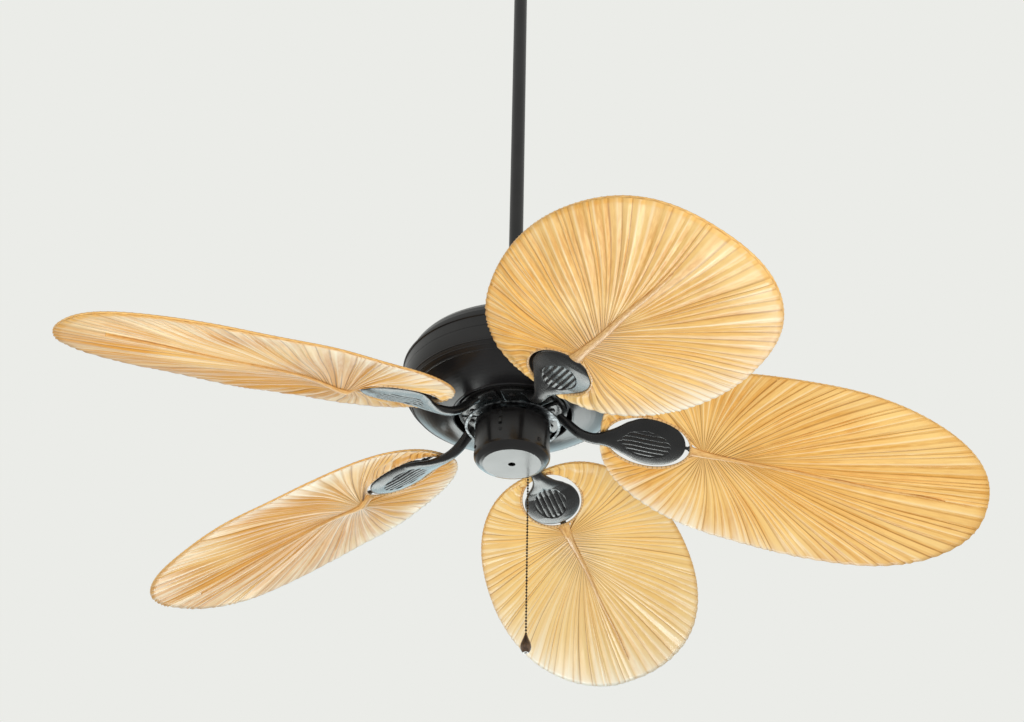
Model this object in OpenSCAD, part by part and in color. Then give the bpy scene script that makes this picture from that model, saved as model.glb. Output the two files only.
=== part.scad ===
// Ceiling fan with five palm-leaf blades, hung on a long downrod from a ball joint under a bell canopy.
// Sizes are millimetres. The origin is the centre of the ceiling face, and the fan hangs towards -Z.
// The motor, arms and leaves are drawn about the hub datum, which the rod carries hub_z below the ceiling.

/* [Ceiling mount] */
// Diameter of the canopy at the ceiling
canopy_d = 140; // [136:1:170]
// Height of the canopy
canopy_h = 72; // [68:1:90]
// Sheet thickness of the canopy
canopy_wall = 1.2; // [0.8:0.1:2]
// Radius of the hanger ball
ball_r = 29; // [27:0.5:31]
// Sheet thickness of the hanger bracket
bracket_t = 2.4; // [2:0.2:3]
// Width of the hanger bracket's top plate
bracket_w = 42; // [36:1:56]
// Distance between the outlet box screws
box_spacing = 89; // [84:0.5:92]
// Width of a box screw slot
box_slot_w = 5; // [4:0.2:6]
// End-to-end length of a box screw slot
box_slot_len = 11; // [8:0.5:14]

/* [Downrod] */
// Length of the downrod
rod_len = 914; // [300:1:1800]
// Outside diameter of the downrod
rod_od = 21; // [19:0.5:24]
// Wall thickness of the downrod
rod_wall = 2; // [1.5:0.1:3]
// Diameter of the pins through the rod
rod_pin_d = 6.4; // [5:0.2:8]
// Height of the coupling cover at the rod's foot
cover_h = 64; // [58:1:80]

/* [Motor housing] */
// Largest radius of the motor housing
housing_r = 156; // [150:1:170]
// Depth of the housing's bowl below its rim
bowl_depth = 73; // [71:0.5:82]
// Radius of the opening in the bottom of the bowl
opening_r = 84.5; // [82:0.5:92]
// Sheet thickness of the housing
housing_wall = 1.8; // [1.4:0.1:2.4]
// Height of the domed top above the rim
dome_h = 51; // [48:1:58]
// Number of pressed ridges round the bowl
ridge_count = 3; // [1:1:4]

/* [Motor] */
// Radius of the hollow motor shaft
shaft_r = 8; // [7:0.5:9]
// Radius of the stator laminations
stator_r = 62; // [56:1:64]
// Number of stator slots
stator_slots = 16; // [8:2:20]
// Thickness of the flywheel
flywheel_t = 7; // [5:0.5:8]

/* [Switch housing] */
// Radius of the switch housing
switch_r = 52.5; // [50:0.5:56]
// Height of the switch housing above its cap
switch_h = 46; // [42:1:48]
// Height of the switch cap
cap_h = 14; // [13:0.5:18]
// Radius of the plated plate over the switch housing
plate_r = 66; // [62:0.5:70]
// Radius of the light kit hole in the cap
light_hole_r = 5.2; // [4:0.1:7]

/* [Blade arms] */
// Thickness of an arm's foot
foot_t = 6; // [5:0.5:7]
// Width of an arm at its neck
neck_w = 17; // [14:0.5:20]
// Length of the oval paddle
paddle_len = 87; // [84:1:92]
// Width of the oval paddle
paddle_w = 79.6; // [74:0.2:82]
// Thickness of the paddle
paddle_t = 6; // [5:0.5:8]
// Number of slots in the paddle
slot_count = 5; // [3:1:7]
// Width of one slot
slot_w = 5; // [3:0.2:5.6]

/* [Palm leaves] */
// Length of a leaf, root to tip
leaf_len = 549; // [480:1:620]
// Greatest width of a leaf
leaf_w = 317; // [280:1:340]
// Number of folds round a leaf
fold_count = 72; // [40:2:84]
// Depth of a fold at the leaf's edge
fold_depth = 6; // [2:0.5:8]
// Thickness of a leaf
leaf_t = 1.2; // [0.8:0.1:2]
// Droop of a leaf below level, in degrees
leaf_droop = 11.5; // [8:0.5:14]
// Pitch of a leaf about its length, in degrees
leaf_pitch = 18.5; // [12:0.5:22]
// Gap between the paddle's sides and the leaf's hoop
hoop_gap = 0.9; // [0.6:0.1:3]
// Gap between the paddle's ends and the leaf's hoop, before the hoop is shifted inwards
hoop_end_gap = 13.7; // [12:0.1:15]

/* [Pull chain] */
// Length of the hanging chain
chain_len = 262; // [120:1:600]
// Diameter of a chain bead
bead_d = 3.2; // [2.4:0.1:3.4]
// Distance from bead to bead
bead_pitch = 4.6; // [3.8:0.1:5.4]
// Length of the wooden fob
fob_len = 28; // [20:1:40]
// Greatest radius of the fob
fob_r = 7.4; // [5:0.2:10]
// Radius of the hole up the fob's foot
fob_hole_r = 2; // [1:0.5:3]

/* [Hidden] */
$fn = 48;
over = 1;
rub = 0.3;
black = "#1d1e20";
zinc = "#b9bcc0";
brass = "#b08d57";
copper = "#b46a3c";
cast_iron = "#55585c";
palm = "#e3ba74";
cane = "#c99b52";

// ceiling joint
ball_z = -46;
cup_r = ball_r + rub;
canopy_top_z = -0.5;
canopy_hole_r = 27;
ear_z = -13;
canopy_in_r = canopy_d / 2 - canopy_wall - rub;
ear_w = 18;
ear_x = sqrt(pow(canopy_in_r, 2) - pow(ear_w / 2, 2)) - bracket_t;
key_w = 6;
wire_hole_r = 14;
// how deep the pin's ends lie under the ball's skin
ball_pin_inset = 4.5;

// downrod and hub datum
rod_top_z = ball_z + 16;
rod_bore_r = rod_od / 2 - rod_wall;
rod_pin_inset = 16;
yoke_floor = 158;
hub_z = rod_top_z - rod_len - yoke_floor;
yoke_r = 17;
yoke_h = 44;
yoke_flange_r = 32;
yoke_pin_z = yoke_floor + rod_pin_inset;

// housing, measured from the hub datum
rim_z = 97;
bowl_power = 3.7;
seam_z = 78;
seam_gap = 0.4;
flange_t = 1.6;
seam_screw = 1.5;
seam_screw_r = bowl_at(seam_z, housing_wall) - 5;
dome_top = rim_z + dome_h;
ridge_z = 46;
ridge_pitch = 5.5;
ridge_r = 1.1;

// motor, measured from the hub datum
foot_top = 30;
flywheel_top = foot_top + flywheel_t;
flywheel_r = 76;
core_z = [62, 84];
bell_r = 80;
bell_wall = 5;
bell_z = [flywheel_top, 104];
bearing_h = 12;
bearing_r = 20;
race_t = 3.5;
running = 0.05;
cable_r = 4;
shaft_bore_r = cable_r + 0.2;
shaft_foot = -4;

// switch housing, measured from the hub datum
plate_z = 8;
plate_t = 2.4;
switch_wall = 1.6;
switch_floor = plate_z - switch_h;
cap_floor = switch_floor - cap_h;
cap_disc_r = switch_r - 12;
cap_edge = 65;
cap_screw_z = switch_floor + 5;
cap_screw_r = 1.5;
slide_angle = 246;
slide_z = -11;
slide_slot = [5, 12];
slide_depth = 5;
slide_screws = [slide_z - 14, slide_z + 13];
small_screw_r = 1.3;
chain_angle = 62;
chain_r = switch_r + 7.5;
guide_top = -12;
guide_mouth = -24;
guide_r = 3.7;
guide_neck_r = guide_r - 0.6;
guide_bore_r = bead_d / 2 + 0.5;
chain_wire_r = 0.7;

// blades
blade_count = 5;
first_blade = 211.3;
foot_angle = 66;
foot_r = [44, 72];
foot_screw_r = 58;
foot_screw_angle = 21;
screw_r = 2.5;
root_r = 122;
root_z = 3.6;
paddle_u = root_r + 72;
paddle_drop = -0.8;
hoop_r = 2.8;
clamp_t = 2.4;
clamp_w = 4;
clamp_bar = 4.5;
clamp_pad = 5.5;
hastula_u = 269;
leaf_lean = 0.065;
rim_cane = [4, 2.6];
// natural leaves differ, and these are the five leaves' own set, counted round from the first.
// The cup is how far a leaf's edge stands above its hoop.
turn_set = [-1.3, 0, 1, -1.3, 1.4];
droop_set = [-1.5, 2.4, -0.7, -2.4, 2.4];
pitch_set = [0, 5, 0.5, -4, -1];
length_set = [-3, 21, -8, 23, -44];
cup_set = [1.5, 1.5, 0.5, 2, 1.5];

function blade_angle(k) = first_blade + k * 360 / blade_count + turn_set[k];
function blade_droop(k) = leaf_droop + droop_set[k];
function blade_pitch(k) = leaf_pitch + pitch_set[k];
function blade_root(k) = [root_r, 0, root_z - cup_set[k]];

// turns a vector by pitch about X, then by droop about Y
function tip(p, droop, pitch) =
  let (y = p[1] * cos(pitch) + p[2] * sin(pitch), z = p[2] * cos(pitch) - p[1] * sin(pitch))
  [p[0] * cos(droop) + z * sin(droop), y, z * cos(droop) - p[0] * sin(droop)];
// a point of blade k, given along, across and above its leaf, in the arm's own frame
function on_blade(k, u, v, w) =
  blade_root(k) + tip([u - root_r, v, w], blade_droop(k), blade_pitch(k));

// ---- shapes shared by several pieces

module hub() {
  translate([0, 0, hub_z]) children();
}

module tube(r_out, r_in, z_low, z_high) {
  translate([0, 0, z_low]) difference() {
    cylinder(r = r_out, h = z_high - z_low);
    translate([0, 0, -over]) cylinder(r = r_in, h = z_high - z_low + 2 * over);
  }
}

module ring_of(count, radius, first = 0) {
  for (i = [0 : count - 1])
    rotate([0, 0, first + i * 360 / count]) translate([radius, 0, 0]) children();
}

// a round-headed screw whose head sits on z = 0 and points down, with its shank above
module screw(head_r, shank_r, length) {
  translate([0, 0, -head_r * 0.5]) cylinder(r1 = head_r * 0.75, r2 = head_r, h = head_r * 0.5);
  cylinder(r = shank_r, h = length);
}

// stands its children on a round wall, pointing outwards
module on_wall(radius, angle, z) {
  rotate([0, 0, angle]) translate([radius, 0, z]) rotate([0, 90, 0]) children();
}

module at_blade(k) {
  hub() rotate([0, 0, blade_angle(k)]) children();
}

// puts children drawn along, across and above a leaf onto blade k
module in_leaf(k) {
  at_blade(k) translate(blade_root(k)) rotate([0, blade_droop(k), 0])
    rotate([-blade_pitch(k), 0, 0]) translate([-root_r, 0, 0]) children();
}

// skins a closed solid over rings of points that run from one end to the other
module skin(rings) {
  n = len(rings);
  m = len(rings[0]);
  sides = [for (i = [0 : n - 2], j = [0 : m - 1], side = [0, 1])
    let (a = i * m + j, b = i * m + (j + 1) % m)
    side == 0 ? [a, b + m, b] : [a, a + m, b + m]];
  first = [for (j = [1 : m - 2]) [0, j, j + 1]];
  last = [for (j = [1 : m - 2]) [(n - 1) * m, (n - 1) * m + j + 1, (n - 1) * m + j]];
  polyhedron(points = [for (ring = rings, p = ring) p], faces = concat(sides, first, last));
}

// skins a closed loop of rings, such as a hoop
module skin_loop(rings) {
  n = len(rings);
  m = len(rings[0]);
  polyhedron(
    points = [for (ring = rings, p = ring) p],
    faces = [for (i = [0 : n - 1], j = [0 : m - 1], side = [0, 1])
      let (a = i * m + j, b = i * m + (j + 1) % m, c = ((i + 1) % n) * m + (j + 1) % m,
        d = ((i + 1) % n) * m + j)
      side == 0 ? [a, c, b] : [a, d, c]]
  );
}

// ---- ceiling mount

module hanger_bracket() {
  cup_out = cup_r + bracket_t;
  color(zinc) {
    difference() {
      intersection() {
        translate([-ear_x - bracket_t, -bracket_w / 2, -bracket_t])
          cube([2 * (ear_x + bracket_t), bracket_w, bracket_t]);
        translate([0, 0, -bracket_t]) cylinder(r = canopy_in_r - rub, h = bracket_t, $fn = 96);
      }
      translate([0, 0, -bracket_t - over]) cylinder(r = wire_hole_r, h = bracket_t + 2 * over);
      for (side = [-1, 1]) translate([side * box_spacing / 2, 0, -bracket_t - over]) {
        for (end = [-1, 1]) translate([end * (box_slot_len - box_slot_w) / 2, 0, 0])
          cylinder(d = box_slot_w, h = bracket_t + 2 * over);
        translate([-(box_slot_len - box_slot_w) / 2, -box_slot_w / 2, 0])
          cube([box_slot_len - box_slot_w, box_slot_w, bracket_t + 2 * over]);
      }
    }
    // ears that the canopy screws into
    for (side = [0, 180]) rotate([0, 0, side]) difference() {
      translate([ear_x, -ear_w / 2, 2 * ear_z]) cube([bracket_t, ear_w, -2 * ear_z - bracket_t / 2]);
      on_wall(ear_x - over, 0, ear_z) cylinder(r = 2, h = bracket_t + 2 * over);
    }
    // straps down to the cup
    for (side = [0, 180]) rotate([0, 0, side])
      translate([cup_r + 0.1, -12, ball_z - 2]) cube([bracket_t, 24, -ball_z + 2 - bracket_t / 2]);
    // the cup that the ball rests in, open on one side so that the ball can be dropped in
    difference() {
      translate([0, 0, ball_z]) rotate_extrude() difference() {
        intersection() {
          circle(r = cup_out, $fn = 96);
          translate([0, -22]) square([cup_out + over, 22]);
        }
        circle(r = cup_r, $fn = 96);
      }
      translate([-rod_od * 0.6, -cup_out - over, ball_z - 30]) cube([rod_od * 1.2, cup_out, 40]);
    }
    // the key that stops the ball from turning
    translate([-key_w / 2, 0, ball_z]) rotate([-35, 0, 0])
      translate([0, cup_r - 3.4, -4]) cube([key_w, 4.4, 8]);
  }
}

module canopy() {
  r = canopy_d / 2;
  foot = canopy_top_z - canopy_h;
  // quarter-ellipse bell from the ceiling down to the hole round the ball
  function bell(t, inset) = [
    canopy_hole_r + 2 + (r - canopy_hole_r - 2 - inset) * cos(t),
    canopy_top_z - 18 - (canopy_h - 18 - inset) * sin(t)];
  color(black) difference() {
    rotate_extrude($fn = 96) polygon(concat(
      [[r, canopy_top_z]],
      [for (t = [0 : 10 : 90]) bell(t, 0)],
      [[canopy_hole_r, foot], [canopy_hole_r, foot + canopy_wall]],
      [for (t = [90 : -10 : 0]) bell(t, canopy_wall)],
      [[r - canopy_wall, canopy_top_z]]));
    for (side = [0, 180]) on_wall(ear_x, side, ear_z) cylinder(r = 2.2, h = 12);
  }
}

module canopy_screws() {
  color(black) for (side = [0, 180])
    on_wall(canopy_d / 2, side, ear_z) rotate([180, 0, 0]) screw(4.2, 2, canopy_wall + bracket_t + 3);
}

// ---- hanger ball, downrod and coupling

module hanger_ball() {
  color("#3a3b3e") translate([0, 0, ball_z]) difference() {
    sphere(r = ball_r, $fn = 64);
    translate([-40, -40, 18]) cube([80, 80, 20]);
    translate([0, 0, -40]) cylinder(d = rod_od, h = 80);
    rotate([0, 90, 0]) translate([0, 0, -40]) cylinder(d = rod_pin_d, h = 80);
    // keyway round the far side, which slides along the bracket's key as the fan tilts
    intersection() {
      translate([-key_w / 2 - 0.5, 0, 0]) rotate([0, 90, 0])
        tube(ball_r + over, ball_r - 3.6, 0, key_w + 1);
      translate([-40, 6, -40]) cube([80, 40, 54]);
    }
    translate([0, -ball_r, 10]) rotate([-90, 0, 0]) cylinder(r = screw_r, h = ball_r);
  }
}

module ball_pin() {
  half = sqrt(pow(ball_r, 2) - pow(rod_pin_d / 2, 2)) - ball_pin_inset;
  color(zinc) translate([-half, 0, ball_z]) rotate([0, 90, 0]) cylinder(d = rod_pin_d, h = 2 * half);
}

module ball_set_screw() {
  color(zinc) translate([0, 0, ball_z + 10]) rotate([90, 0, 0]) difference() {
    translate([0, 0, rod_od / 2]) cylinder(r = screw_r, h = ball_r - rod_od / 2 - 3);
    translate([0, 0, ball_r - 5]) cylinder(r = 1.3, h = 4, $fn = 6);
  }
}

module downrod() {
  color(black) difference() {
    tube(rod_od / 2, rod_bore_r, rod_top_z - rod_len, rod_top_z);
    for (z = [ball_z, rod_top_z - rod_len + rod_pin_inset])
      translate([-rod_od, 0, z]) rotate([0, 90, 0]) cylinder(d = rod_pin_d, h = 2 * rod_od);
    translate([0, 0, ball_z + 10]) rotate([90, 0, 0]) cylinder(r = 1.5, h = rod_od);
  }
}

// Bundle of supply wires, drawn as one round loom from the canopy to the switch housing
module supply_cable() {
  color("#d9d9d6") difference() {
    translate([0, 0, hub_z + shaft_foot - 6]) cylinder(r = cable_r, h = ball_z + 24 - hub_z - shaft_foot + 6);
    translate([-rod_od, 0, ball_z]) rotate([0, 90, 0]) cylinder(d = rod_pin_d, h = 2 * rod_od);
    hub() translate([-rod_od, 0, yoke_pin_z]) rotate([0, 90, 0])
      cylinder(d = rod_pin_d, h = 2 * rod_od);
  }
}

module motor_yoke() {
  color(zinc) hub() difference() {
    union() {
      translate([0, 0, dome_top]) cylinder(r = yoke_flange_r, h = 6);
      translate([0, 0, dome_top]) cylinder(r = yoke_r, h = yoke_floor + yoke_h - dome_top);
    }
    translate([0, 0, yoke_floor]) cylinder(d = rod_od, h = yoke_h + over);
    translate([0, 0, dome_top - over]) cylinder(r = shaft_r, h = yoke_floor - dome_top + 2 * over);
    translate([-2 * yoke_r, 0, yoke_pin_z]) rotate([0, 90, 0]) cylinder(d = rod_pin_d, h = 4 * yoke_r);
    for (side = [0, 180]) on_wall(rod_od / 2 - over, side + 90, yoke_floor + 32)
      cylinder(r = screw_r, h = yoke_r);
    translate([0, 0, dome_top - over]) ring_of(3, yoke_flange_r - 6) cylinder(r = screw_r, h = 8);
  }
}

module yoke_pin() {
  color(zinc) hub() translate([0, 0, yoke_pin_z]) rotate([0, 90, 0]) {
    translate([0, 0, -yoke_r - 3]) difference() {
      union() {
        cylinder(d = rod_pin_d, h = 2 * yoke_r + 9);
        cylinder(d = rod_pin_d + 4, h = 3);
      }
      translate([-8, 0, 2 * yoke_r + 6]) rotate([0, 90, 0]) cylinder(r = 0.9, h = 16);
    }
    // hairpin cotter through the pin's end
    translate([-7, 0, yoke_r + 3]) rotate([0, 90, 0]) cylinder(r = 0.9, h = 14);
  }
}

module yoke_set_screws() {
  color(zinc) hub() for (side = [90, 270]) on_wall(rod_od / 2, side, yoke_floor + 32) difference() {
    cylinder(r = screw_r, h = yoke_r - rod_od / 2 + 3);
    translate([0, 0, yoke_r - rod_od / 2 + 1]) cylinder(r = 1.3, h = 4, $fn = 6);
  }
}

module coupling_cover() {
  low = dome_top + 0.2;
  wall = 1.2;
  foot_r = yoke_flange_r + 7;
  top_r = rod_od / 2 + 0.4;
  // smooth bell from the housing's dome up to the rod
  function side(t, inset) = [
    top_r + 3 + (foot_r - top_r - 3) * cos(t) - inset,
    low + 8 + (cover_h - 8 - inset) * sin(t)];
  color(black) hub() rotate_extrude($fn = 96) polygon(concat(
    [[foot_r, low]],
    [for (t = [0 : 10 : 80]) side(t, 0)],
    [[top_r + 3, low + cover_h], [top_r, low + cover_h], [top_r, low + cover_h - wall]],
    [for (t = [80 : -10 : 0]) side(t, wall)],
    [[foot_r - wall, low]]));
}

// ---- motor housing

// radius of the bowl at height z, a superellipse below the rim
function bowl_at(z, inset = 0) =
  (housing_r - inset) * pow(1 - pow((rim_z - z) / (bowl_depth - inset), bowl_power), 1 / bowl_power);
// height of the bowl's opening edge
function bowl_foot(inset = 0) =
  rim_z - (bowl_depth - inset) * pow(1 - pow(opening_r / (housing_r - inset), bowl_power), 1 / bowl_power);

// inward flange at the seam, drilled for the screws that join the two housings
module seam_flange(z) {
  r = bowl_at(seam_z, housing_wall);
  difference() {
    tube(r + 0.3, r - 9, z, z + flange_t);
    translate([0, 0, z - over]) ring_of(3, seam_screw_r, 40)
      cylinder(r = seam_screw, h = flange_t + 2 * over);
  }
}

module lower_housing() {
  steps = 20;
  foot = bowl_foot();
  inner_foot = bowl_foot(housing_wall);
  top = seam_z - seam_gap;
  color(black) hub() {
    rotate_extrude($fn = 128) polygon(concat(
      [for (i = [0 : steps]) let (z = foot + (top - foot) * pow(i / steps, 1.6)) [bowl_at(z), z]],
      [for (i = [steps : -1 : 0]) let (z = inner_foot + (top - inner_foot) * pow(i / steps, 1.6))
        [bowl_at(z, housing_wall), z]]));
    // rolled lip round the opening
    rotate_extrude($fn = 128) translate([opening_r, foot + 0.9]) circle(r = 1.9, $fn = 24);
    // pressed ridges
    for (i = [0 : ridge_count - 1]) {
      z = ridge_z + i * ridge_pitch;
      rotate_extrude($fn = 128) translate([bowl_at(z) - 0.3, z]) circle(r = ridge_r, $fn = 20);
    }
    // inner flange that the upper housing sits on
    seam_flange(top - flange_t);
  }
}

module upper_housing() {
  steps = 12;
  low = seam_z;
  // flattened dome from the rim in to the yoke
  function dome(t, inset) = [
    yoke_flange_r + (housing_r - yoke_flange_r - 5 - inset) * cos(t),
    rim_z + (dome_h - inset) * pow(sin(t), 0.8)];
  color(black) hub() difference() {
    union() {
      rotate_extrude($fn = 128) polygon(concat(
        [for (i = [0 : 6]) let (z = low + (rim_z - 4 - low) * i / 6) [bowl_at(z), z]],
        [[housing_r + 1.4, rim_z - 3], [housing_r + 1.4, rim_z - 0.6]],
        [for (i = [0 : steps]) dome(90 * i / steps, 0)],
        [[shaft_r, dome_top], [shaft_r, dome_top - housing_wall]],
        [for (i = [steps : -1 : 0]) dome(90 * i / steps, housing_wall)],
        [for (i = [6 : -1 : 0]) let (z = low + (rim_z - 4 - low) * i / 6) [bowl_at(z, housing_wall), z]]));
      seam_flange(low);
    }
    translate([0, 0, dome_top - 2 * housing_wall]) ring_of(3, yoke_flange_r - 6)
      cylinder(r = screw_r, h = 3 * housing_wall);
    // cooling slots in the dome
    ring_of(12, housing_r * 0.55, 15) translate([-12, -2, rim_z]) cube([24, 4, dome_h + over]);
  }
}

// Screws that hold the dome to the yoke, and the bowl to the dome
module housing_screws() {
  color(zinc) hub() {
    translate([0, 0, dome_top - housing_wall]) ring_of(3, yoke_flange_r - 6)
      screw(4.2, screw_r, housing_wall + 7);
    translate([0, 0, seam_z - seam_gap - flange_t]) ring_of(3, seam_screw_r, 40)
      screw(3.6, seam_screw, 2 * flange_t + seam_gap + 1);
  }
}

// ---- motor

module motor_shaft() {
  color(zinc) hub() tube(shaft_r, shaft_bore_r, shaft_foot, yoke_floor);
}

module stator_core() {
  color("#8b8f94") hub() difference() {
    tube(stator_r, shaft_r, core_z[0], core_z[1]);
    translate([0, 0, core_z[0] - over]) ring_of(stator_slots, 0) {
      translate([stator_r - 22, -3.5, 0]) cube([17, 7, core_z[1] - core_z[0] + 2 * over]);
      translate([stator_r - 6, -1.2, 0]) cube([8, 2.4, core_z[1] - core_z[0] + 2 * over]);
    }
  }
}

// End turns of the coils, above and below the laminations
module stator_windings() {
  mid = stator_r - 13.5;
  color(copper) hub() for (z = [core_z[0] - 5.2, core_z[1] + 5.2])
    rotate_extrude($fn = 96) translate([mid, z]) scale([1.7, 1]) circle(r = 5.2, $fn = 32);
}

module rotor_ring() {
  color("#8b8f94") hub() tube(bell_r - bell_wall, stator_r + 0.5, core_z[0] - 1, core_z[1] + 1);
}

// Half of the motor's turning shell: a boss round the bearing, a web with windows, and a rim
module end_bell(low, high, rim_low, rim_high, web_z) {
  difference() {
    union() {
      tube(bearing_r + 8, bearing_r, low, high);
      tube(bell_r, bearing_r + 6, web_z, web_z + bell_wall);
      tube(bell_r, bell_r - bell_wall, rim_low, rim_high);
    }
    translate([0, 0, web_z - over]) ring_of(8, (bell_r + bearing_r) / 2 + 2, 22.5)
      cylinder(r = 8, h = bell_wall + 2 * over);
  }
}

module lower_end_bell() {
  low = bell_z[0];
  color(cast_iron) hub() {
    end_bell(low, low + 14, low + 8, (core_z[0] + core_z[1]) / 2, low + 8);
    tube(bearing_r, shaft_r + 3, low, low + 2);
  }
}

module upper_end_bell() {
  high = bell_z[1];
  color(cast_iron) hub() {
    end_bell(high - 14, high, (core_z[0] + core_z[1]) / 2, high - 3, high - 3 - bell_wall);
    tube(bearing_r, shaft_r + 3, high - 2, high);
  }
}

module bearing(z) {
  color("#9fa3a8") hub() {
    tube(shaft_r + race_t, shaft_r + running, z, z + bearing_h);
    tube(bearing_r, bearing_r - race_t, z, z + bearing_h);
    // pressed shields that close the ball race
    for (end = [1, bearing_h - 1.6])
      tube(bearing_r - race_t + 0.2, shaft_r + race_t - 0.2, z + end, z + end + 0.6);
  }
}

module lower_bearing() {
  bearing(bell_z[0] + 2);
}

module upper_bearing() {
  bearing(bell_z[1] - 2 - bearing_h);
}

module flywheel() {
  color("#2b2c2e") hub() difference() {
    tube(flywheel_r, shaft_r + 6, foot_top, flywheel_top);
    for (k = [0 : blade_count - 1]) translate([0, 0, foot_top - over]) foot_screws(k)
      cylinder(r = screw_r, h = flywheel_t + 2 * over);
  }
}

// ---- switch housing

module switch_plate() {
  // openings between the disc and the rolled rim, as [first angle, last angle]
  windows = [[248, 284], [336, 440], [110, 217]];
  inner = switch_r + 1;
  rim = 3;
  color(zinc) hub() difference() {
    union() {
      tube(plate_r, shaft_r, plate_z, plate_z + plate_t);
      rotate_extrude($fn = 96) translate([plate_r, plate_z + plate_t / 2]) circle(r = plate_t / 2, $fn = 24);
    }
    translate([0, 0, plate_z - over]) {
      ring_of(3, switch_r - 10, 20) cylinder(r = screw_r, h = plate_t + 2 * over);
      for (w = windows) rotate([0, 0, w[0]]) rotate_extrude(angle = w[1] - w[0], $fn = 96)
        translate([inner, 0]) square([plate_r - rim - inner, plate_t + 2 * over]);
    }
  }
}

// Nut that clamps the plate to the shaft, and the screws that hold the switch housing
module switch_plate_screws() {
  color(zinc) hub() {
    translate([0, 0, shaft_foot + 2]) difference() {
      cylinder(r = shaft_r + 5, h = plate_z - shaft_foot - 2, $fn = 6);
      translate([0, 0, -over]) cylinder(r = shaft_r, h = 30);
    }
    translate([0, 0, plate_z - switch_wall]) ring_of(3, switch_r - 10, 20)
      screw(4, screw_r, plate_t + switch_wall + 1);
  }
}

module switch_housing() {
  color(black) hub() difference() {
    tube(switch_r, switch_r - switch_wall, switch_floor, plate_z);
    on_wall(0, chain_angle, (guide_top + guide_mouth) / 2) cylinder(r = guide_neck_r, h = switch_r + over);
    rotate([0, 0, slide_angle]) translate([0, -slide_slot[0] / 2, slide_z - slide_slot[1] / 2])
      cube([switch_r + over, slide_slot[0], slide_slot[1]]);
    for (z = slide_screws) on_wall(0, slide_angle, z) cylinder(r = small_screw_r, h = switch_r + over);
    for (i = [0 : 2]) on_wall(0, cap_screw_angle(i), cap_screw_z)
      cylinder(r = cap_screw_r, h = switch_r + over);
  }
  // rolled-in top that the plate's screws pass through
  color(black) hub() difference() {
    tube(switch_r - switch_wall / 2, shaft_r + 8, plate_z - switch_wall, plate_z);
    translate([0, 0, plate_z - switch_wall - over]) ring_of(3, switch_r - 10, 20)
      cylinder(r = screw_r, h = switch_wall + 2 * over);
  }
}

function cap_screw_angle(i) = 69 + 120 * i;

// Turned cap: a short straight skirt, a shoulder that rounds over to the edge of a flat disc, and a light kit hole
module switch_cap() {
  // shoulder from the skirt down to the disc, part of an oval up to the angle cap_edge
  wide = (switch_r + 0.6 - cap_disc_r) / (1 - cos(cap_edge));
  high = (cap_h - 2) / sin(cap_edge);
  function shoulder(t, inset) = [
    switch_r + 0.6 - wide * (1 - cos(t)) - inset * cos(t),
    switch_floor - 2 - high * sin(t) + inset * sin(t)];
  skirt_in = switch_r - switch_wall;
  color(black) hub() {
    rotate_extrude($fn = 96) polygon(concat(
      [[switch_r + 0.6, switch_floor]],
      [for (t = [0 : 13 : cap_edge]) shoulder(t, 0)],
      [[light_hole_r, cap_floor], [light_hole_r, cap_floor + 2]],
      [for (t = [cap_edge : -13 : 0]) shoulder(t, 2)],
      [[switch_r - 1.4, switch_floor]]));
    // spigot inside the housing, which the cap screws hold
    tube(skirt_in + 0.4, skirt_in - switch_wall, switch_floor - 3, switch_floor);
    difference() {
      tube(skirt_in, skirt_in - switch_wall, switch_floor - 1, switch_floor + 9);
      for (i = [0 : 2]) on_wall(0, cap_screw_angle(i), cap_screw_z) cylinder(r = cap_screw_r, h = switch_r);
    }
  }
}

// Small screws through the wall of the switch housing, for the cap and for the reverse switch
module switch_housing_screws() {
  color(zinc) hub() {
    for (i = [0 : 2]) on_wall(switch_r, cap_screw_angle(i), cap_screw_z) rotate([180, 0, 0])
      screw(2 * cap_screw_r, cap_screw_r, 5);
    for (z = slide_screws) on_wall(switch_r, slide_angle, z) rotate([180, 0, 0])
      screw(2 * small_screw_r, small_screw_r, 5);
  }
}

// Speed switch behind the chain's guide
module pull_switch() {
  mid = (guide_top + guide_mouth) / 2;
  size = [24, 26, 30];
  back = switch_r - 8.5;
  color("#e8e4d8") hub() rotate([0, 0, chain_angle]) {
    translate([back - size[0], -size[1] / 2, mid - size[2] * 0.4]) cube(size);
    on_wall(back - over, 0, mid) cylinder(r = guide_neck_r, h = switch_r - switch_wall - back + over);
  }
}

module reverse_switch() {
  // block whose front corners lie just inside the round wall
  size = [12, 14, 33];
  front = sqrt(pow(switch_r - switch_wall - rub, 2) - pow(size[1] / 2, 2));
  color("#2a2b2d") hub() rotate([0, 0, slide_angle]) difference() {
    translate([front - size[0], -size[1] / 2, slide_z - size[2] / 2]) cube(size);
    translate([front - slide_depth, -slide_slot[0] / 2, slide_z - slide_slot[1] / 2])
      cube([slide_depth + over, slide_slot[0], slide_slot[1]]);
    for (z = slide_screws) on_wall(front - slide_depth, 0, z)
      cylinder(r = small_screw_r, h = slide_depth + over);
  }
}

module reverse_slider() {
  color("#e4e4e2") hub() rotate([0, 0, slide_angle])
    translate([switch_r - switch_wall - slide_depth + 0.5, -slide_slot[0] / 2 + 0.4, slide_z - 2.5])
    cube([switch_wall + slide_depth + 0.5, slide_slot[0] - 0.8, 5]);
}

module capacitor() {
  size = [20, 32, 34];
  color("#202124") hub() rotate([0, 0, chain_angle + 110])
    translate([shaft_r + 6, -size[1] / 2, plate_z - switch_wall - size[2]]) cube(size);
}

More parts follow.
